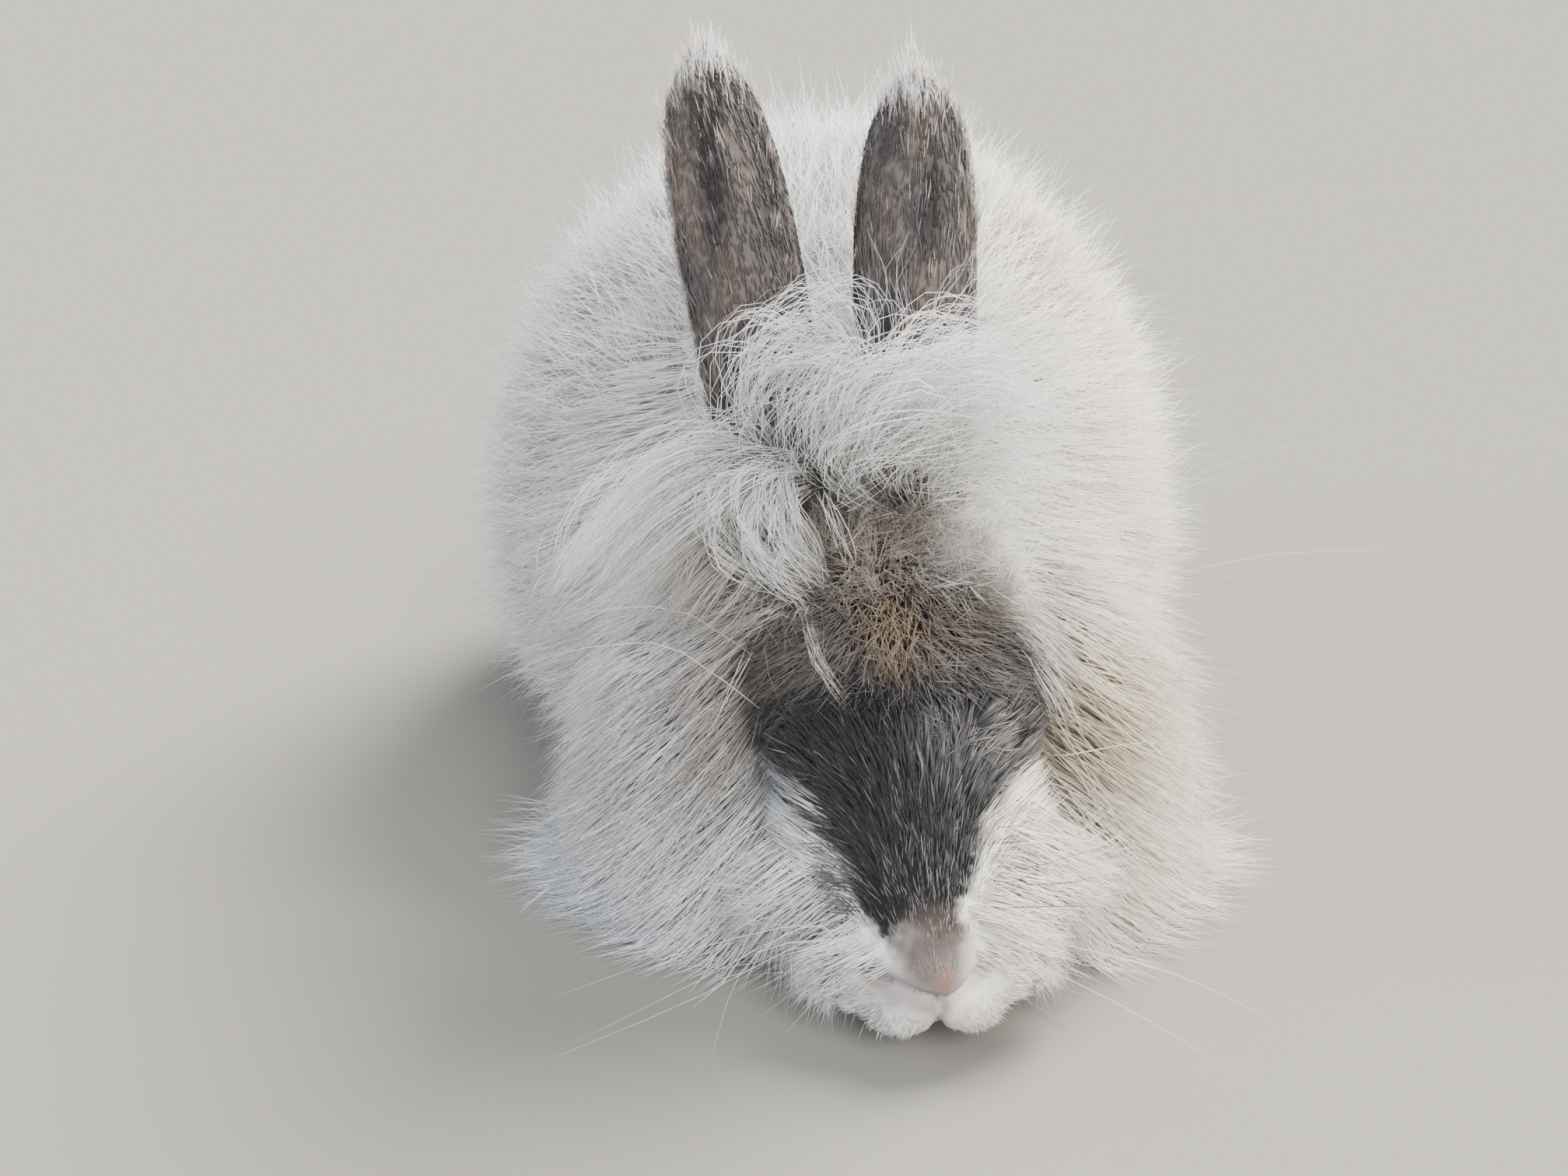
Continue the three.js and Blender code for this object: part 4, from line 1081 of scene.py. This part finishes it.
# The topknot: long curly wool on the crown, tousled between and before the ears, that falls
# forward over the brow and away to both sides.
roots = Roots(IN_CROWN, each_mm2=1.9, seed=131)
spread = roots.side / 30
flow = np.array([0.1, -0.4, 0.8]) + np.array([0.9, 0, -0.3]) * spread[:, None] + roots.stray(0.5)
flow = flow - 0.6 * head_back * held((100 - roots.back) / 9)[:, None]
whitened = np.clip((roots.back - 106 + 0.4 * np.abs(roots.side)) / 8, 0.1, 1)
piece = hairs(
    "topknot", roots, unit(flow), roots.between(14, 32), 0.3, 25, rings=5, bend=0.12, curl=3.6,
    turns=1.4, tuft=tufts(roots, 5.0, 31), gather=0.7, root_tone=0.85,
    colour=blend(markings_and_painted_light(roots.at), COOL_WHITE, whitened),
)
dressed(piece, wool)

# Loose locks of the topknot, each combed over a line of its own: the roll before the ears, the
# white puff beside it, the curl on the brow, and the long fall over the right cheek.
LOCKS = {
    "roll": [
        [
            (5, -102, 126), (3, -109, 144), (-6, -117, 153),
            (-17, -122, 149), (-21, -123, 137), (-15, -119, 125),
        ],
        [
            (6, -102, 124), (4, -111, 141), (-4, -120, 148),
            (-12, -124, 142), (-14, -124, 132), (-7, -119, 122),
        ],
        [
            (8, -102, 122), (6, -112, 139), (0, -121, 143),
            (-6, -125, 136), (-6, -123, 126), (0, -118, 120),
        ],
    ],
    "puff": [
        [
            (8, -108, 116), (3, -123, 132), (8, -125, 143),
            (22, -121, 146), (34, -116, 142), (48, -111, 136),
        ],
        [
            (14, -108, 114), (5, -125, 129), (8, -128, 138),
            (17, -126, 139), (20, -123, 130), (13, -119, 124),
        ],
        [
            (20, -106, 114), (17, -122, 132), (26, -123, 141),
            (38, -118, 140), (52, -112, 132), (60, -108, 121),
        ],
        [(26, -105, 112), (27, -119, 128), (36, -119, 133), (48, -114, 129), (57, -110, 118)],
        [(10, -106, 118), (16, -120, 138), (26, -118, 148), (38, -113, 149), (50, -106, 144)],
        [(24, -106, 110), (24, -118, 122), (32, -120, 124), (42, -116, 118), (50, -112, 108)],
    ],
    "brow_curl": [
        [(-8, -110, 118), (-17, -118, 118), (-20, -122, 110), (-12, -124, 103), (-3, -125, 98)],
        [(-4, -110, 118), (-10, -121, 118), (-9, -125, 110), (-4, -126, 103), (-2, -126, 97)],
        [(-12, -110, 119), (-23, -117, 119), (-25, -121, 109), (-17, -124, 101), (-9, -126, 97)],
    ],
    "brow_fall": [
        [
            (-8, -118, 110), (-14, -124, 104), on_head(92, -21, 29),
            on_head(77, -20, 29), on_head(62, -13, 27),
        ],
    ],
    "wisp": [
        [(6, -106, 150), (7.6, -112, 156), (9, -115, 165), (6.8, -112, 175)],
        [(20, -106, 148), (21.7, -113, 155), (27, -116, 163), (30.6, -113, 171)],
        [(26, -106, 147), (28.8, -112, 153), (32, -114, 158), (32.5, -112, 163)],
        [(12, -107, 149), (14.6, -113, 156), (12.2, -116, 168), (16.4, -113, 177)],
        [(34, -107, 142), (38, -112, 149), (48, -113, 152), (58, -110, 144)],
        [(-4, -108, 148), (-8, -114, 156), (-2, -116, 162), (4, -113, 157)],
    ],
    "right_fall": [
        [
            (-8, -106, 122), (-24, -110, 125), (-37, -110, 119),
            (-50, -109, 107), (-60, -107, 95), (-68, -106, 86),
        ],
        [(-9, -108, 120), (-24, -112, 120), (-38, -113, 111), (-50, -112, 98), (-58, -110, 86)],
        [(-10, -108, 116), (-22, -114, 113), (-34, -116, 103), (-44, -115, 90), (-52, -113, 78)],
        [(-12, -108, 110), (-22, -115, 105), (-30, -118, 94), (-38, -118, 80)],
        [(-14, -102, 118), (-32, -104, 118), (-48, -104, 107), (-62, -102, 94), (-72, -100, 82)],
    ],
}
LOCK_STYLE = {
    "roll": (150, 8.0, 1.2, 151),
    "puff": (180, 9.5, 1.7, 152),
    "brow_curl": (120, 5.5, 0.9, 153),
    "brow_fall": (44, 3.4, 0.9, 155),
    "wisp": (9, 5.0, 1.3, 156),
    "right_fall": (240, 8.5, 0.6, 154),
}
skin_tree = KDTree(len(skin_points))
for i, place in enumerate(skin_points):
    skin_tree.insert(Vector(place), i)
skin_tree.balance()
uv_of_point = np.zeros((len(skin_points), 2))
uv_of_point[corners.ravel()] = unwrap[loops.ravel()]


def skin_uv(places):
    """Where the skin nearest to each place lies on the unwrap."""
    return uv_of_point[[skin_tree.find(Vector(place))[1] for place in places]]


def combed(lines, count, spread, wander, seed, rings=8):
    """Hairs that follow each line side by side, in strands that spread and close round it."""
    draw = np.random.default_rng(seed)
    t = np.linspace(0, 1, rings + 1)[None, :, None]
    spines, uvs = [], []
    count = max(8, int(count * FULL_COAT))
    for line in lines:
        marks = np.arange(len(line))
        middle = [track(marks, [p[axis] for p in line]) for axis in range(3)]
        starts = draw.uniform(0, 0.22, count)[:, None]
        ends = draw.uniform(0.6, 1.0, count)[:, None]
        reach = (starts + (ends - starts) * t[..., 0]) * (len(line) - 1)
        places = np.stack([column(reach) for column in middle], axis=-1)
        strand = draw.integers(0, max(2, count // 9), count)
        apart = draw.normal(size=(strand.max() + 1, 1, 3))[strand]
        round_it = (0.48 * apart + 0.13 * draw.normal(size=(count, 1, 3))) * spread
        swell = 0.4 + 1.1 * np.sin(np.pi * held(t * 0.85 + 0.08))
        phase = draw.uniform(0, 6.28, (count, 1, 3))
        turns = draw.uniform(0.4, 1.1, (count, 1, 1))
        wave = wander * np.sin(phase + 2 * np.pi * turns * t)
        spines.append(places + round_it * swell + wave * (0.25 + t))
        uvs.append(skin_uv(spines[-1][:, 0]))
    return np.concatenate(spines), np.concatenate(uvs)


for name, lines in LOCKS.items():
    count, spread, wander, seed = LOCK_STYLE[name]
    spines, uvs = combed(lines, count, spread, wander, seed)
    tone = COOL_WHITE if name in ("roll", "wisp") else WHITE
    tones = np.tile(tone, (len(spines), 1))
    if name == "right_fall":
        under = np.repeat([0, 0.12, 0.5, 0.65, 0], len(spines) // 5)
        tones = blend(tones, BROWN, under)
    wide = 0.16 if name == "wisp" else 0.24
    piece = strands_along("lock_" + name, spines, uvs, wide, tones, seed)
    dressed(piece, wool)

# The ruff: long wool that stands round the face, falls over the breast and spreads a little on
# the floor.
foot_forms = [foot_form(*foot) for foot in FEET.values()]
ON_FEET = (np.min([form.reach(middles) for form in foot_forms], axis=0) < 1.15) & (middles[:, 2] > 2)
ON_RUFF = ~ON_HEAD & ~any_ear & ~ON_FEET & (middles[:, 1] < -52) & (middles[:, 2] > 3)
for hand, name, seed in ((-1, "wool_ruff_right", 141), (1, "wool_ruff_left", 142)):
    roots = Roots(ON_RUFF & (hand * (middles[:, 0] - 14) > 0), each_mm2=0.66, seed=seed)
    low = held((40 - roots.at[:, 2]) / 40)
    drop = 0.8 if hand < 0 else 0.8 - 0.5 * held((roots.at[:, 2] - 20) / 50)
    flow = np.stack([0.018 * (roots.at[:, 0] - 16), -0.25 * low, -drop + 0.35 * low], axis=-1)
    flow[:, 1] += 0.7 * held((roots.at[:, 1] + 84) / 26)
    flow = flow + roots.stray(0.2)
    piece = hairs(
        name, roots, laid(flow, roots.out), roots.between(32, 50), 0.48,
        roots.between(24, 42) + 8 * low, rings=3, bend=0.2, curl=1.4, turns=0.9,
        tuft=tufts(roots, 8, seed), gather=0.4, root_tone=0.9,
        colour=np.maximum(markings_and_painted_light(roots.at), DARKEST_WOOL[hand]),
    )
    dressed(piece, wool)

# The wool of the trunk and thighs: a dense fleece a finger deep that stands well off, leans
# back and down, and breaks at its surface into small soft points.
ON_TRUNK = ~ON_HEAD & ~any_ear & ~ON_RUFF & ~ON_FEET & (middles[:, 2] > 2)
FLEECE = {
    "wool_back": ON_TRUNK & (middle_normals[:, 2] > 0.45),
    "wool_flank_right": ON_TRUNK & (middle_normals[:, 2] <= 0.45) & (middles[:, 0] < 2),
    "wool_flank_left": ON_TRUNK & (middle_normals[:, 2] <= 0.45) & (middles[:, 0] >= 2),
}
for index, (name, where) in enumerate(FLEECE.items()):
    roots = Roots(where, each_mm2=0.33, seed=151 + index)
    flow = np.array([0, 0.6, -0.4]) + roots.stray(0.6)
    halo = roots.draw.uniform(size=len(roots)) < 0.2
    piece = hairs(
        name, roots, laid(flow, roots.out), np.where(halo, 1.5, 1.0) * roots.between(17, 25),
        np.where(halo, 0.32, 0.6), roots.about(np.where(halo, 60, 52), 11), rings=2, bend=0.3,
        tuft=tufts(roots, 7, 51 + index), gather=np.where(halo, 0.15, 0.42), root_tone=0.9,
    )
    dressed(piece, wool)

# The feet: short thick fur down to the toes, and four horn claws on each foot.
roots = Roots(ON_FEET, each_mm2=1.1, seed=161)
flow = np.array([0, -1, -0.3]) + roots.stray(0.15)
piece = hairs(
    "fur_feet", roots, laid(flow, roots.out), roots.between(4, 7), 0.45, 20,
    tuft=tufts(roots, 3.5, 61), gather=0.4, tip_colour=np.tile(CREAM, (len(roots), 1)),
)
dressed(piece, fur)

claws = []
for heel, toes, half, height in FEET.values():
    for toe in (-0.66, -0.22, 0.22, 0.66):
        start = np.array([toes[0] + toe * half, toes[1] + 1 + 5 * abs(toe), 5.5])
        steps = np.linspace(0, 1, 6)[:, None]
        claws.append(start + steps * (1.5 * toe, -9.5, -1.2) - steps**2 * (0, 0, 2.6))
claws = np.array(claws)
HORN = rgb(118, 104, 94)
horn_tones = np.tile(HORN, (len(claws), 1))
piece = strands_along("claws", claws, skin_uv(claws[:, 0]), 2.0, horn_tones, 62, flat=1.4)
horn = coat_material("claw_horn", 0.4, 0.0, 0.2, 900.0)
dressed(piece, horn)

# The whiskers: long single hairs from the pads of the muzzle and over the eyes, white except for
# some fine dark ones low on the left pad.
WHISKERS = {
    "pale": [
        [
            on_head(84, 27, 14), (58, -124, 108), (72.2, -120, 117.9),
            (99.5, -118, 128), (130, -116, 132),
        ],
        [
            on_head(74, 31, 8), (54, -126, 91), (69.3, -124, 97.4),
            (101.7, -120, 103.6), (134, -118, 103.7),
        ],
        [
            on_head(70, 31, 6), (54, -127, 89), (70.8, -124, 94.9),
            (94.3, -122, 99.3), (112.5, -121, 101),
        ],
        [
            on_head(70, -30, 6), (-36, -122, 80), (-50, -123, 82.4),
            (-68.2, -124, 79.3), (-86.6, -126, 70.3),
        ],
        [
            on_head(80, -28, 10), (-34, -118, 88), (-50.3, -119, 90),
            (-61.2, -119, 88), (-72.2, -120, 85.6),
        ],
        [
            on_head(14, -19, -1), (-4, -162, 28), (-17.5, -169, 29.9),
            (-23.9, -176, 22.3), (-28.2, -182, 8),
        ],
        [on_head(16, -20, 1), (-6.6, -163, 32.5), (-29.8, -172, 25.1), (-59, -178, 12.2)],
        [on_head(12, -18, -3), (-4.8, -162, 28.6), (-33.2, -172, 19.3), (-72.3, -180, 6)],
        [on_head(18, -20, 3), (-10, -160, 30.5), (-36.6, -168, 28.1), (-64.6, -172, 19.3)],
        [on_head(15, 20, -1), (54, -164, 27), (76, -168, 22), (96, -170, 12)],
        [on_head(12, 19, -3), (50, -168, 22), (66, -174, 16), (82, -178, 7)],
    ],
    "dark": [
        [
            on_head(30, 15, 6), (42.1, -150, 38.3), (51, -152, 42.4),
            (63, -151, 45.2), (77.5, -148, 44.4),
        ],
        [on_head(27, 14, 5), (39.5, -152, 36.1), (43.9, -153, 39.3), (50.1, -152, 39.9)],
        [on_head(24, 14, 4), (37.4, -154, 34), (40, -155, 36.8), (43.7, -155, 37.8)],
        [on_head(26, 18, 3), (51.5, -152, 35.9), (56.1, -153, 37.9), (63.1, -152, 38.1)],
        [on_head(21, 17, 3), (42, -157, 33), (54, -160, 35), (68, -160, 34)],
    ],
}
WHISKER_TONES = {"pale": rgb(236, 234, 230), "dark": rgb(120, 100, 84)}
whisker_lines, tones = [], []
for tone, lines in WHISKERS.items():
    for line in lines:
        line = np.array([np.array(place, float) for place in line])
        if tone == "dark":
            line[1:] += (-1, -5, 3.5)
        whisker_lines.append(along_line(line, 9))
        tones.append(WHISKER_TONES[tone])
whisker_lines, tones = np.array(whisker_lines), np.array(tones)
whisker_uv = skin_uv(whisker_lines[:, 0])
piece = strands_along("whiskers", whisker_lines, whisker_uv, 0.26, tones, 63, flat=1.0)
dressed(piece, fur)

# The floor and the studio: a pale floor that runs on to the horizon, a warm soft light from
# behind the animal's left, a weaker one from the front and a cool one from its right.
FLOOR_TONE = np.array([0.25, 0.24, 0.22])
SKY_LIGHT = 0.75 * np.array([0.66, 0.69, 0.74])
turns = np.linspace(0, 2 * np.pi, 96, endpoint=False)
disc = bpy.data.meshes.new("floor")
disc.from_pydata([(60 * math.cos(a), 60 * math.sin(a), 0) for a in turns], [], [tuple(range(96))])
floor = bpy.data.objects.new("floor", disc)
bpy.context.scene.collection.objects.link(floor)
pale = bpy.data.materials.new("pale_floor")
pale.use_nodes = True
pale_surface = pale.node_tree.nodes["Principled BSDF"]
pale_surface.inputs["Base Color"].default_value = (*FLOOR_TONE, 1)
pale_surface.inputs["Roughness"].default_value = 1.0
pale_surface.inputs["Specular IOR Level"].default_value = 0.0
floor.data.materials.append(pale)
floor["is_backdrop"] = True


def studio_light(name, place, spread, power, colour):
    """A soft light from a place in the studio; gives back how much of it the floor takes."""
    lamp = bpy.data.lights.new(name, "SUN")
    lamp.angle, lamp.energy, lamp.color = math.radians(spread), power, colour
    made = bpy.data.objects.new(name, lamp)
    made.location = place
    made.rotation_euler = (-Vector(place)).to_track_quat("-Z", "Y").to_euler()
    bpy.context.scene.collection.objects.link(made)
    return np.array(colour) * power * place[2] / (math.pi * Vector(place).length)


taken = SKY_LIGHT
taken = taken + studio_light("window", (2.1, 1.8, 3.4), 34, 11.0, (1.0, 0.96, 0.9))
taken = taken + studio_light("front", (1.5, -3.0, 2.5), 40, 4.2, (1.0, 0.97, 0.93))
taken = taken + studio_light("side", (-3.2, -1.2, 2.0), 46, 2.0, (0.85, 0.92, 1.0))

# The sky lights the scene, and behind the floor's far edge it shows in the floor's own tone.
world = bpy.context.scene.world or bpy.data.worlds.new("studio")
bpy.context.scene.world = world
world.use_nodes = True
sky_nodes, sky_links = world.node_tree.nodes, world.node_tree.links
sky = sky_nodes["Background"]
sky.inputs["Color"].default_value = (*SKY_LIGHT, 1)
backdrop = sky_nodes.new("ShaderNodeBackground")
backdrop.inputs["Color"].default_value = (*(FLOOR_TONE * taken), 1)
seen = sky_nodes.new("ShaderNodeLightPath")
either = sky_nodes.new("ShaderNodeMixShader")
sky_links.new(seen.outputs["Is Camera Ray"], either.inputs["Fac"])
sky_links.new(sky.outputs["Background"], either.inputs[1])
sky_links.new(backdrop.outputs["Background"], either.inputs[2])
sky_links.new(either.outputs["Shader"], sky_nodes["World Output"].inputs["Surface"])

# The camera, close before the animal and looking down on it as in the photograph.
CAMERA_AT = (-12, -396, 186)
CAMERA_DOWN = 18.2
lens = bpy.data.cameras.new("camera")
lens.sensor_width, lens.lens = 36, 28.57
lens.clip_start = 0.01
camera = bpy.data.objects.new("camera", lens)
camera.location = Vector(in_metres(CAMERA_AT))
camera.rotation_euler = (math.radians(90 - CAMERA_DOWN), 0, 0)
bpy.context.scene.collection.objects.link(camera)
bpy.context.scene.camera = camera

visual_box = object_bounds()
{"cad": [list(v) for v in cad_box], "visual": [list(v) for v in visual_box]}
